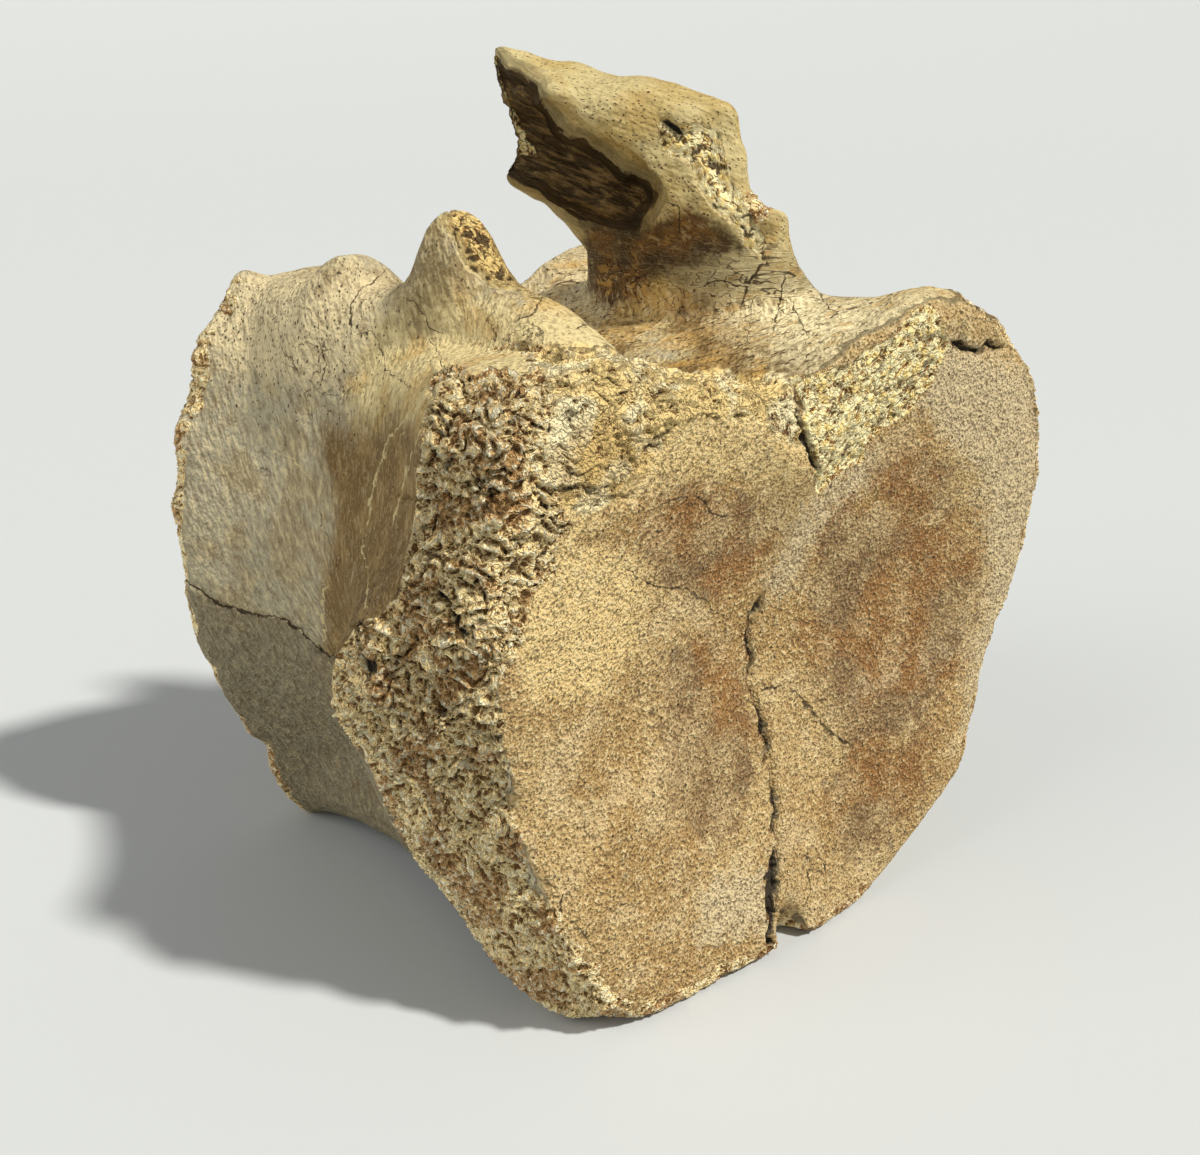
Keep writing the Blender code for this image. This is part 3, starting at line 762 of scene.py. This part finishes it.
def pore_group():
    """Small holes; Share is how many of the places for them have one."""
    inputs = (("Place", None), ("Size", 1.0), ("Share", 0.5), ("Radius", 0.22))
    group, b, given, result = new_group("Pores", inputs, ("Mask",))
    cells = b.cells(given[0], given[1])
    number = b.put("SeparateColor", cells.outputs["Color"]).outputs
    there = b.math("LESS_THAN", number[0], given[2])
    radius = b.times(given[3], b.span(number[1], 0.0, 1.0, 0.55, 1.15))
    inside = b.math("SUBTRACT", radius, cells.outputs["Distance"])
    b.feed(result["Mask"], b.times(b.span(inside, -0.06, 0.07), there))
    return group


def border_group():
    """A share that is a half on a border, made crisp, and ragged by a shift."""
    inputs = (("Share", 0.5), ("Shift", 0.0), ("Ragged", 1.0), ("Soft", 0.1))
    group, b, given, result = new_group("Border", inputs, ("Mask",))
    value = b.math("SUBTRACT", b.plus(given[0], b.times(given[1], given[2])), 0.5)
    b.feed(result["Mask"], b.span(value, b.times(given[3], -1.0), given[3]))
    return group


def line_group():
    """A thin ragged line where the signed distance from it is nothing, kept to where it is shown."""
    inputs = (("Side", 1.0), ("Shift", 0.0), ("Width", 0.3), ("Shown", 1.0))
    group, b, given, result = new_group("Line", inputs, ("Mask",))
    away = b.math("ABSOLUTE", b.plus(given[0], b.times(given[1], 2.2)))
    width = b.times(given[2], b.span(given[1], -0.12, 0.12, 0.55, 1.25))
    line = b.span(b.math("DIVIDE", away, width), 0.70, 0.30)
    b.feed(result["Mask"], b.times(line, given[3]))
    return group


def bone_material(tones):
    """Mineral-stained fossil bone with painted highlight and shade on its relief, cracks and hollow; the
    mesh's own attributes say where it is crumbled, fibrous or porous.
    """
    material = bpy.data.materials.new("fossil_bone")
    material.use_nodes = True
    tree = material.node_tree
    shader = tree.nodes["Principled BSDF"]
    b = Bench(tree)
    crests, pores, borders, lines = crest_group(), pore_group(), border_group(), line_group()

    place = b.put("Mapping", b.put("TexCoord").outputs["Object"], vector_type="POINT")
    place.inputs["Scale"].default_value = (MM, MM, MM)
    place = place.outputs[0]
    bent = b.bent(place, 1.8, 1.0)
    share = {name: b.mask(name) for name in MASKS}
    stain, fleck = share["stain"], share["fleck"]
    ragged = b.math("SUBTRACT", b.noise(place, 2.2, 2.0, 0.6), 0.5)

    def crisp(name, how_ragged, soft):
        return b.group(borders, share[name], ragged, how_ragged, soft)[0]

    def less(value):
        return b.math("SUBTRACT", 1.0, value)

    band, rim, top = crisp("band", 0.7, 0.08), crisp("rim", 0.7, 0.12), crisp("top", 1.2, 0.3)
    broken = b.most(crisp("patch", 0.4, 0.06), crisp("strip", 0.4, 0.07))
    hollow = crisp("hollow", 0.15, 0.04)
    crumbled = b.most(band, rim)

    # Sound bone: tan joint faces, grey and brown sides, yellow arch, with painted shade on the lower side and
    # the stub's flank and painted light on the front face's right rim
    b.ground = b.blend(b.span(stain, -0.35, 0.30), tones.face, tones.face_warm)
    b.lay(b.span(fleck, 0.05, 0.55, 0.0, 0.6), tones.face_pale)
    # Greyer streaks and rims; on the front face's right rim this is partly painted light
    b.lay(b.times(crisp("wan", 1.8, 0.35), 0.85), tones.wan)
    b.lay(b.times(crisp("sandy", 1.8, 0.4), 0.85), tones.sandy)
    rust = b.times(crisp("rust", 2.0, 0.32), b.span(fleck, -0.5, 0.5, 1.0, 0.5))
    b.lay(rust, b.blend(b.span(stain, -0.2, 0.3), tones.brown, tones.rust))
    side = b.blend(b.span(fleck, -0.25, 0.45), tones.grey, tones.grey_warm)
    side = b.blend(crisp("cream", 1.2, 0.4), side, tones.cream)
    b.lay(share["side"], side)
    ochre = b.blend(b.span(stain, -0.15, 0.4), tones.pale, tones.ochre)
    ochre = b.blend(b.span(fleck, 0.15, 0.6, 0.0, 0.45), ochre, tones.ochre_deep)
    b.lay(crisp("ochre", 1.2, 0.35), ochre)
    # Painted shade: the stub's left flank darkened, as it faces away from the main light
    b.lay(b.times(crisp("olive_shade", 1.2, 0.45), 0.9), tones.olive_shade)
    waist = b.blend(b.span(fleck, -0.1, 0.5), tones.waist, tones.waist_light)
    b.lay(crisp("brown", 0.5, 0.42), waist)
    # Painted shade on the lower side, below its crack, where it turns under away from the light
    b.lay(b.times(crisp("low", 0.3, 0.14), 0.85), tones.low_side_shade)
    dusky = b.times(crisp("dusky", 1.2, 0.5), b.span(fleck, -0.4, 0.3, 0.1, 0.6))
    b.lay(dusky, tones.dusky)
    b.lay(b.times(crisp("blanched", 1.2, 0.5), 0.85), tones.blanched)
    b.lay(b.times(share["arch"], 0.45), tones.sheet)
    foot = b.blend(b.span(fleck, -0.3, 0.4), tones.foot, tones.fibre)
    b.lay(b.times(crisp("foot", 1.5, 0.5), 0.95), foot)

    # Grain, strongest on the joint faces: light grains on the bump's raised spots and dark grains in its
    # dips, partly grain colour and partly painted highlight and shade
    grain = b.noise(b.stretched(place, (1.0, 1.0, 0.8), (0.0, math.radians(30.0), 0.0)), 0.44, 1.0)
    mottle = b.noise(place, 1.4, 1.0, 0.6)
    gritty = less(b.most(b.times(share["side"], 0.72), b.times(share["smooth"], 0.9)))
    light = b.plus(b.times(grain, 0.7), b.times(mottle, 0.3))
    glints = b.times(b.span(light, 0.52, 0.64, 0.0, 0.66), gritty, less(b.times(rust, 0.45)))
    b.lay(glints, tones.pale_grain_highlight)
    b.lay(b.times(b.span(light, 0.48, 0.36, 0.0, 0.72), gritty), tones.dark_grain_shade)
    specks = b.group(pores, bent, 0.95, b.span(mottle, 0.35, 0.6, 0.1, 0.6), 0.25)[0]
    b.lay(b.times(specks, gritty, 0.8), tones.pit)
    across = b.stretched(place, (1.0, 1.0, 0.33), (math.radians(-25.0), 0.0, 0.0))
    brushed = b.stretched(place, (1.0, 1.0, 0.16), (0.0, math.radians(42.0), 0.0))
    along = b.stretched(place, (0.16, 1.0, 1.0), ARCH_EULER)
    arched = b.most(share["arch"], share["hollow"])
    skin = b.noise(b.between(arched, b.between(share["side"], brushed, across), along), 0.95, 1.0, 0.6)
    skinned = b.most(share["side"], share["smooth"], b.times(share["brushed"], 0.9))
    skinned = b.times(skinned, b.span(share["arch"], 0.0, 1.0, 1.0, 0.5))
    # Fibres of the skin: darker in their dips and paler on their ridges, as the bump raises them, partly
    # painted shade and highlight
    b.lay(b.times(b.span(skin, 0.46, 0.34, 0.0, 0.40), skinned), tones.dark_grain_shade)
    shaded = b.span(b.plus(share["brown"], share["low"]), 0.4, 0.8, 1.0, 0.35)
    pale = b.times(b.span(skin, 0.54, 0.66, 0.0, 0.35), skinned, shaded)
    b.lay(pale, tones.pale_grain_highlight)

    # Fibres along the canal and holes of vessels
    fibre = b.noise(b.stretched(place, (0.085, 1.0, 1.0), (0.0, 0.0, math.radians(-37.0))), 1.5, 1.0, 0.55)
    reds = b.span(b.math("ABSOLUTE", b.math("SUBTRACT", fibre, 0.52)), 0.030, 0.010)
    reds = b.times(reds, share["canal"], b.span(b.plus(mottle, b.times(fleck, 0.2)), 0.30, 0.44))
    b.lay(b.times(reds, 0.85), tones.foot)
    warm = b.times(b.span(fibre, 0.54, 0.62), share["canal"], b.span(fleck, -0.1, 0.4))
    b.lay(b.times(warm, 0.6), tones.ochre_deep)
    upright = b.stretched(bent, (1.3, 1.3, 0.75))
    drawn_out = b.between(arched, upright, b.stretched(bent, (0.75, 1.6, 1.6), ARCH_EULER))
    holes = b.group(pores, drawn_out, 0.78, share["pores"], 0.27)[0]
    b.lay(b.times(holes, 0.9), tones.pit)

    # Crumbled bone: by the relief's height, brown hollows darkened as painted shade and pale crests lightened
    # as painted highlight; the painted shade in the gaps is laid further on
    laid = b.stretched(bent, (0.38, 1.0, 1.0), EDGE_EULER)
    laid = b.between(share["strip"], laid, b.stretched(bent, (0.5, 1.0, 1.0), ARCH_EULER))
    breaks = b.most(share["patch"], share["strip"])
    laid = b.between(b.math("GREATER_THAN", breaks, 0.5), bent, laid)
    thin = b.group(crests, laid, 1.25, 0.11)[0]
    thinner = b.group(crests, laid, 0.62, 0.12)[0]
    # The relief's height, which paints highlight on crests and shade in hollows
    high = b.plus(b.times(share["bright"], 0.62), b.times(thin, 0.30), b.times(thinner, 0.16))
    crumbled_tone_and_shade = b.blend(b.span(fleck, -0.05, 0.4), tones.crest, tones.crest_brown)
    crumbled_tone_and_shade = b.blend(b.span(high, 0.22, 0.50), tones.cell, crumbled_tone_and_shade)
    crumbled_tone_and_shade = b.blend(b.span(high, 0.52, 0.82, 0.0, 0.9), crumbled_tone_and_shade, tones.pale_crest_highlight)
    b.lay(crumbled, crumbled_tone_and_shade)

    # Yellow, half-crumbled top edge
    edge = b.blend(b.span(fleck, -0.5, 0.3), tones.top_pale, tones.top)
    edge = b.blend(b.span(stain, 0.15, 0.6, 0.0, 0.4), edge, tones.ochre_deep)
    # Its low places are darkened as painted shade
    edge = b.blend(b.span(b.plus(high, ragged), 0.36, 0.08), edge, tones.cell)
    b.lay(top, edge)

    # Fibrous breaks
    mat = b.most(b.times(share["bright"], 0.8), thin, b.times(thinner, 0.7))
    gap = b.blend(b.span(fleck, -0.2, 0.3), tones.break_dark, tones.rust)
    strand = b.blend(b.span(mottle, 0.45, 0.65), tones.break_pale, tones.break_yellow)
    strand = b.blend(b.times(share["strip"], less(share["arch"])), strand, tones.break_tan)
    # Fibres are paler on their crests, with the gap colour in their dips, by height: partly painted highlight
    # and shade
    b.lay(broken, b.blend(b.span(mat, 0.20, 0.62), gap, strand))
    # The hollow under the arch's edge: its brown fibres darkened as painted shade, lighter where the bump
    # raises them
    inside = b.span(b.plus(skin, b.times(fleck, 0.12)), 0.36, 0.68)
    b.lay(hollow, b.blend(inside, tones.hollow, tones.shaded_hollow_fibre))

    # Painted shade in the gaps of crumbled and broken bone and inside the cut cracks and hole; dark hairline
    # cracks; pale lines
    b.lay(b.span(share["dark"], 0.15, 0.70, 0.0, 0.95), tones.pit)
    hair = b.group(lines, share["hair_side"], ragged, share["hair_width"], share["hair_near"])[0]
    for name in ("crackle_a", "crackle_b"):
        net = b.group(lines, share[name], ragged, 0.13, b.times(share["crackled"], less(crumbled)))[0]
        hair = b.most(hair, b.times(net, 0.8))
    b.lay(b.times(hair, 0.9), tones.pit)
    vein = b.group(lines, share["vein_side"], ragged, share["vein_width"], share["vein_near"])[0]
    b.lay(b.times(vein, 0.75), tones.pale)
    # Painted shade inside the cut cracks and the hole
    b.lay(b.span(share["crack"], 0.35, 0.95), tones.crack)
    b.feed(shader.inputs["Base Color"], b.ground)

    # Relief too fine for the mesh, in millimetres; kept short, as a bump is worked out three times over
    rough = b.span(b.most(share["band"], share["rim"], b.times(share["top"], 0.7), breaks), 0.35, 0.65)
    height = b.plus(
        b.times(light, gritty, 1.5),
        b.times(skin, skinned, 0.65),
        b.times(mottle, 0.5),
        b.times(thin, rough, 0.48),
        b.times(skin, share["hollow"]),
    )
    bump = b.put("Bump")
    bump.inputs["Strength"].default_value = 1.0
    bump.inputs["Distance"].default_value = 1.0 / MM
    b.feed(bump.inputs["Height"], height)
    b.feed(shader.inputs["Normal"], bump.outputs[0])
    b.feed(shader.inputs["Roughness"], b.span(mottle, 0.3, 0.7, 0.55, 0.85))
    shader.inputs["Specular IOR Level"].default_value = 0.22
    return material


MASKS = (
    "band", "top", "rim", "strip", "patch", "hollow", "canal", "side", "smooth", "brown", "ochre",
    "low", "foot", "rust", "wan", "sandy", "cream", "brushed", "olive_shade", "dusky", "blanched", "arch",
    "pores", "bright", "dark", "crack", "stain", "fleck", "crackle_a", "crackle_b", "crackled",
    "hair_side", "hair_near", "hair_width", "vein_side", "vein_near", "vein_width",
)  # fmt: skip


def line_fields(flat, allowed, lines):
    """Signed distance to the nearest line in millimetres, whether it is near, and that line's width."""
    best = np.full(len(flat), FAR)
    signed = np.full(len(flat), 9.0)
    width = np.full(len(flat), 0.3)
    for line, wide in lines:
        away, side, _ = line_reach(flat, line)
        closer = away < best
        best = np.where(closer, away, best)
        signed = np.where(closer, side * away / UNITS, signed)
        width = np.where(closer, wide, width)
    near = rise(1.8, 1.0, best / UNITS) * allowed
    return np.clip(signed, -9.0, 9.0), near, width


def paint_masks(mesh, done):
    """Write what the material reads onto the mesh's points."""
    places, normals = mesh_places(mesh)
    x, depth, z = places.T
    ny = normals[:, 1]
    flat, facing = drawn(places, normals)
    areas = regions(places, normals)
    wander = rough_noise(places, 14.0, 55)
    face = rise(-0.4, -0.7, ny) * rise(26.0, 18.0, depth) + rise(0.6, 0.85, ny) * rise(80.0, 88.0, depth)
    side = 1.0 - np.clip(face, 0.0, 1.0)
    left = rise(-16.0, -24.0, x)
    seen = rise(-0.1, 0.1, facing) * left

    def parted(shown, guessed):
        return seen * shown + (1.0 - seen) * guessed

    brown = parted(soft_share(within(flat, BROWN)), soft_share(0.12 * (46.0 - depth) + 3.0 * wander))
    # Where the lower side gets painted shade: inside the drawn border where the viewpoint shows it, and lower
    # places elsewhere
    low = parted(soft_share(within(flat, LOW_SIDE)), soft_share(0.09 * (46.0 - z) + 1.5 * wander))
    stains = {}
    for name, borders in STAINS.items():
        fade = SOFTER.get(name, 0.6)
        stains[name] = np.maximum.reduce([soft_share(fade * within(flat, border)) for border in borders])
    top = soft_share(0.28 * (z - 98.0) + 2.5 * wander + 0.10 * (50.0 - depth))
    top = parted(np.maximum(stains["ochre"], rise(108.0, 116.0, z) * (x > -14.0)), top)
    brown *= np.where(seen > 0.5, rise(370.0, 470.0, flat[:, 1] + 14.0 * wander), 1.0)
    front = depth < 30.0
    toward = rise(-0.1, 0.15, facing)
    allowed = (facing > 0.12) & ((depth < 34.0) | (x < -22.0) | (z > 106.0))
    holes = rise(84.0, 100.0, z) * (0.25 + 0.75 * rise(44.0, 60.0, depth)) * (1.0 - 0.8 * areas["canal"])
    holes = np.maximum(np.maximum(0.5 * holes, 0.95 * areas["arch"]), 0.95 * seen * stains["cream"])
    bends = shaken(places, 8.0, 3.0, 120)
    crackled = soft_noise(places, 12.0, 141) + 0.2 * rise(70.0, 100.0, z) - 0.32
    crackled = rise(0.0, 0.25, crackled) * rise(52.0, 62.0, z)
    at_foot = (facing > 0.0) * (z > 98.0) * (x > -14.0) * (depth < 74.0)
    cream = parted(stains["cream"], soft_share(0.12 * (z - 88.0) + 2.5 * wander))
    values = {
        "side": side,
        "smooth": np.maximum(areas["arch"], areas["canal"]) * side,
        "brown": brown * side * rise(118.0, 104.0, z),
        "ochre": side * top,
        "low": low * side * rise(70.0, 60.0, z),
        "foot": soft_share(within(flat, STAINED_FOOT)) * at_foot,
        "rust": face * np.where(front, stains["rust"], soft_share(5.0 * wander - 2.0)),
        "wan": face * np.where(front, stains["wan"], soft_share(-5.0 * wander - 2.0)),
        "sandy": face * front * stains["sandy"],
        "cream": side * cream,
        "brushed": front * face * stains["brushed"],
        # Painted shade on the stub's flank
        "olive_shade": seen * side * stains["olive_shade"],
        "dusky": stains["dusky"] * (x > -16.0) * side * toward,
        "blanched": stains["blanched"] * (x > -16.0) * side * toward,
        "pores": side * holes,
        "stain": rough_noise(places, 18.0, 101),
        "fleck": rough_noise(places, 6.5, 111),
        "crackle_a": 4.5 * soft_noise(bends, 11.0, 121),
        "crackle_b": 4.5 * soft_noise(bends, 9.0, 131),
        "crackled": crackled * side * (1.0 - areas["arch"]) * (1.0 - areas["canal"]),
        **done,
    }
    for name, lines in (("hair", HAIRLINES), ("vein", PALE_LINES)):
        for part, value in zip(("side", "near", "width"), line_fields(flat, allowed, lines)):
            values[name + "_" + part] = value
    for name in MASKS:
        value = values[name] if name in values else areas[name]
        mesh.attributes.new(name, "FLOAT", "POINT").data.foreach_set("value", value.astype(np.float32))


# Settings, operators and panel


def length(name, description, millimetres):
    settings = {"description": description, "default": millimetres / MM, "min": 0.0, "unit": "LENGTH"}
    return bpy.props.FloatProperty(name=name, **settings)


def tone(name, description, value):
    return bpy.props.FloatVectorProperty(
        name=name, description=description, subtype="COLOR", size=3, min=0.0, max=1.0, default=value
    )


def amount(name, description, value):
    return bpy.props.FloatProperty(name=name, description=description, default=value, min=0.0)


class VertebraShape(bpy.types.PropertyGroup):
    """Sizes of the bone's surface detail."""

    voxel: length("Fineness", "Mesh size while the surface is carved", 0.46)
    band_relief: length("Crumbled bevel", "Strength of relief on the front rim's bevel", 1.4)
    rim_relief: length("Worn edges", "Strength of relief on the other rims", 0.6)
    top_relief: length("Top edge", "Strength of relief on the yellow top edge", 1.0)
    break_relief: length("Breaks", "Strength of relief on broken bone", 0.8)
    hollow_depth: length("Hollow", "How far the hollow goes in under the arch's edge", 3.0)
    swell: length("Unevenness", "Gentle unevenness of sound bone", 0.30)
    triangles: bpy.props.IntProperty(name="Triangles", description="Most that the bone has", default=192000)
    detail_share: amount("Detail", "How strongly crumbled bone keeps its triangles", 0.001)


class VertebraTones(bpy.types.PropertyGroup):
    """Colours of the bone, some of them painted highlight and shade."""

    face: tone("Face", "Main colour of the joint faces", (0.53, 0.365, 0.155))
    face_warm: tone("Face, warm", "Warmer patches of the joint faces", (0.43, 0.27, 0.10))
    face_pale: tone("Face, pale", "Paler flecks of the joint faces", (0.64, 0.48, 0.25))
    # Greyer bone, and painted light on the front face's right rim
    wan: tone("Face, grey", "Greyer streaks and rims of the joint faces", (0.62, 0.50, 0.30))
    sandy: tone("Face, sandy", "Yellower parts of the joint faces", (0.84, 0.62, 0.27))
    rust: tone("Rust", "Iron stains", (0.29, 0.135, 0.038))
    brown: tone("Brown", "Brown stains of the joint faces", (0.25, 0.15, 0.065))
    grey: tone("Side", "Grey of the sides", (0.41, 0.365, 0.245))
    grey_warm: tone("Side, warm", "Warm patches of the sides", (0.38, 0.31, 0.18))
    # Painted shade of the lower side, which turns under away from the light
    low_side_shade: tone("Low side", "Darker grey below the side's crack", (0.20, 0.17, 0.105))
    cream: tone("Cream", "Paler upper part of the sides", (0.62, 0.52, 0.31))
    waist: tone("Waist", "Brown of the waist", (0.175, 0.104, 0.031))
    waist_light: tone("Waist, light", "Lighter patches of the waist", (0.26, 0.165, 0.055))
    ochre: tone("Ochre", "Yellow of the arch's foot", (0.54, 0.375, 0.13))
    ochre_deep: tone("Ochre, deep", "Deeper yellow flecks", (0.50, 0.29, 0.07))
    pale: tone("Pale", "Palest bone", (0.66, 0.54, 0.27))
    top: tone("Top edge", "Sandy yellow of the front's top edge", (0.88, 0.66, 0.28))
    top_pale: tone("Top edge, pale", "Pale patches of the front's top edge", (1.0, 0.87, 0.52))
    # Painted shade of the stub's flank, which faces away from the main light
    olive_shade: tone("Stub's flank", "Darker flank of the left wall's stub", (0.235, 0.17, 0.07))
    dusky: tone("Canal, dusky", "Brown parts of the canal's floor", (0.66, 0.43, 0.16))
    blanched: tone("Canal, pale", "Palest parts of the canal", (0.98, 0.86, 0.52))
    sheet: tone("Arch", "Darker yellow of the arch's sheet", (0.36, 0.30, 0.125))
    foot: tone("Arch's foot", "Brown stain on the wall of the canal", (0.042, 0.019, 0.004))
    fibre: tone("Fibres", "Red-brown streaks of the canal", (0.12, 0.052, 0.011))
    # Brown fibres of the hollow, both darkened as painted shade where it lies in under the arch's edge
    hollow: tone("Hollow", "Darkest brown of the hollow", (0.052, 0.031, 0.010))
    shaded_hollow_fibre: tone("Hollow, light", "Fibres in the hollow", (0.20, 0.125, 0.045))
    crest: tone("Crests", "Crests of crumbled bone", (1.0, 0.76, 0.36))
    # Pale crests, lightened as painted highlight
    pale_crest_highlight: tone("Crests, light", "Palest walls of crumbled bone", (1.0, 0.93, 0.64))
    crest_brown: tone("Crests, brown", "Stained crests of crumbled bone", (0.60, 0.36, 0.14))
    # Brown of the hollows between crests, deepened as painted shade
    cell: tone("Cells", "Hollows of crumbled bone", (0.19, 0.095, 0.028))
    break_pale: tone("Breaks, pale", "Fibres of broken bone", (1.0, 0.89, 0.50))
    break_yellow: tone("Breaks, yellow", "Yellow fibres of broken bone", (0.96, 0.73, 0.28))
    break_tan: tone("Breaks, tan", "Fibres of the left wall's break", (0.74, 0.54, 0.21))
    break_dark: tone("Breaks", "Gaps between the fibres of broken bone", (0.30, 0.14, 0.036))
    # Also the painted shade in the gaps of crumbled and broken bone
    pit: tone("Pits", "Pits, pores and hairlines", (0.036, 0.020, 0.008))
    # Painted shade inside the cut cracks and the hole
    crack: tone("Cracks", "Inside of the open cracks", (0.05, 0.038, 0.024))
    # Light and dark grains: partly grain colour, partly painted highlight and shade on the bumped grains and
    # fibres
    pale_grain_highlight: tone("Grain, light", "Light grains", (0.84, 0.69, 0.38))
    dark_grain_shade: tone("Grain, dark", "Dark grains", (0.15, 0.085, 0.030))


class VertebraStage(bpy.types.PropertyGroup):
    """Floor, lights and camera."""

    floor_tone: tone("Floor colour", "Pale floor", (0.56, 0.585, 0.595))
    key: amount("Key light", "Strength of the main light", 3.7)
    fill: amount("Fill light", "Strength of the light from the left", 0.8)
    sky: amount("Surrounding light", "Strength of the light from all round", 0.30)
    lens: amount("Lens", "Focal length in millimetres", 42.0)


class FOSSIL_OT_bone(bpy.types.Operator):
    """Carve the weathered surface over the solid bone"""

    bl_idname = "fossil.bone"
    bl_label = "Bone"

    def execute(self, context):
        shape = context.scene.vertebra_shape
        bone = placed(context, "fossil_bone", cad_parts[NODE].data.copy())
        bone.data.materials.clear()
        voxel = shape.voxel
        add_modifier("REMESH", mode="VOXEL", voxel_size=voxel)
        add_modifier("SMOOTH", factor=0.5, iterations=round(SMOOTHING * (SMOOTH_VOXEL / voxel) ** 2))
        places, normals = mesh_places(bone.data)
        moved, done, fine = weathered(places, normals, shape)
        move_points(bone.data, moved)
        tree = KDTree(len(moved))
        for n, place in enumerate(moved):
            tree.insert(place, n)
        tree.balance()
        spared = bone.vertex_groups.new(name="coarse")
        spared.add(np.flatnonzero(~fine).tolist(), 1.0, "REPLACE")
        count = sum(len(p.vertices) - 2 for p in bone.data.polygons)
        ratio = min(1.0, shape.triangles / count)
        add_modifier("DECIMATE", ratio=ratio, vertex_group="coarse", vertex_group_factor=shape.detail_share)
        left, _ = mesh_places(bone.data)
        move_points(bone.data, left)
        nearest = np.array([tree.find(place)[1] for place in left])
        paint_masks(bone.data, {name: value[nearest] for name, value in done.items()})
        bpy.ops.object.shade_smooth()
        bone.data.materials.append(bone_material(context.scene.vertebra_tones))
        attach(bone, "root")
        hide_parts(NODE)
        return {"FINISHED"}


class FOSSIL_OT_stage(bpy.types.Operator):
    """Lay the pale floor and set the lights and camera"""

    bl_idname = "fossil.stage"
    bl_label = "Stage"

    def execute(self, context):
        settings = context.scene.vertebra_stage
        self.floor(context, settings)
        self.light("key", (0.29, -0.54, 0.79), settings.key, 4.5, (1.0, 0.965, 0.90))
        self.light("fill", (-0.80, 0.15, 0.58), settings.fill, 40.0, (1.0, 0.985, 0.95))
        world = bpy.data.worlds.new("studio")
        world.use_nodes = True
        nodes, links = world.node_tree.nodes, world.node_tree.links
        nodes["Background"].inputs["Color"].default_value = SKY_SHADE
        nodes["Background"].inputs["Strength"].default_value = settings.sky
        shown = nodes.new("ShaderNodeBackground")
        shown.inputs["Color"].default_value = PAST_SHADE
        pick = nodes.new("ShaderNodeMixShader")
        links.new(nodes.new("ShaderNodeLightPath").outputs["Is Camera Ray"], pick.inputs[0])
        links.new(nodes["Background"].outputs[0], pick.inputs[1])
        links.new(shown.outputs[0], pick.inputs[2])
        links.new(pick.outputs[0], nodes["World Output"].inputs["Surface"])
        context.scene.world = world
        context.scene.view_settings.view_transform = "Standard"
        self.camera(context, settings)
        return {"FINISHED"}

    def floor(self, context, settings):
        """A wide round floor that rises gently all round, far from the bone."""
        profile = [(0.0, 0.0), (FLOOR_FLAT / 3.0, 0.0), (FLOOR_FLAT, 0.0)]
        for n in range(1, RINGS + 1):
            out = FLOOR_FLAT + (FLOOR_REACH - FLOOR_FLAT) * n / RINGS
            profile.append((out, FLOOR_RISE * (n / RINGS) ** 2))
        places = []
        for out, up in profile:
            for n in range(SPOKES):
                turn = 2.0 * math.pi * n / SPOKES
                places.append((out * math.cos(turn), out * math.sin(turn), up))
        faces = []
        for ring in range(len(profile) - 1):
            for n in range(SPOKES):
                first, second = ring * SPOKES + n, ring * SPOKES + (n + 1) % SPOKES
                faces.append((first, first + SPOKES, second + SPOKES, second))
        mesh = bpy.data.meshes.new("floor")
        mesh.from_pydata(places, [], faces)
        floor = placed(context, "floor", mesh)
        bpy.ops.object.shade_smooth()
        material = bpy.data.materials.new("pale_floor")
        material.use_nodes = True
        shader = material.node_tree.nodes["Principled BSDF"]
        shader.inputs["Base Color"].default_value = colour(settings.floor_tone)
        shader.inputs["Roughness"].default_value = 0.65
        shader.inputs["Specular IOR Level"].default_value = 0.15
        mesh.materials.append(material)

    def light(self, name, towards, strength, softness, shade):
        """A distant lamp in the given direction; softness is its width in degrees."""
        bpy.ops.object.light_add(type="SUN", location=Vector(towards) * 1.5)
        lamp = bpy.context.object
        lamp.name = name
        lamp.data.energy = strength
        lamp.data.angle = math.radians(softness)
        lamp.data.color = shade
        lamp.rotation_mode = "QUATERNION"
        lamp.rotation_quaternion = (-Vector(towards)).to_track_quat("-Z", "Y")

    def camera(self, context, settings):
        bpy.ops.object.camera_add()
        camera = context.object
        camera.name = "camera"
        camera.data.sensor_width = 36.0
        camera.data.lens = settings.lens
        camera.data.clip_start = 0.01
        right, up, ahead = sight_axes()
        matrix = Matrix((right, up, -ahead)).transposed().to_4x4()
        matrix.translation = (SIGHT_PLACE + FACE_SHIFT) / MM
        camera.matrix_world = matrix
        context.scene.camera = camera


class FOSSIL_PT_panel(bpy.types.Panel):
    """Builds the vertebra and its stage"""

    bl_label = "Fossil vertebra"
    bl_space_type = "VIEW_3D"
    bl_region_type = "UI"
    bl_category = "Fossil"

    def draw(self, context):
        layout = self.layout
        scene = context.scene
        for settings in (scene.vertebra_shape, scene.vertebra_tones, scene.vertebra_stage):
            box = layout.box()
            for name in settings.__annotations__:
                box.prop(settings, name)
        for operator in (FOSSIL_OT_bone, FOSSIL_OT_stage):
            layout.operator(operator.bl_idname)


CLASSES = (VertebraShape, VertebraTones, VertebraStage, FOSSIL_OT_bone, FOSSIL_OT_stage, FOSSIL_PT_panel)


def register():
    for cls in CLASSES:
        bpy.utils.register_class(cls)
    bpy.types.Scene.vertebra_shape = bpy.props.PointerProperty(type=VertebraShape)
    bpy.types.Scene.vertebra_tones = bpy.props.PointerProperty(type=VertebraTones)
    bpy.types.Scene.vertebra_stage = bpy.props.PointerProperty(type=VertebraStage)


def unregister():
    del bpy.types.Scene.vertebra_stage
    del bpy.types.Scene.vertebra_tones
    del bpy.types.Scene.vertebra_shape
    for cls in reversed(CLASSES):
        bpy.utils.unregister_class(cls)


def main():
    register()
    bpy.ops.fossil.bone()
    bpy.ops.fossil.stage()


if __name__ == "__main__":
    main()
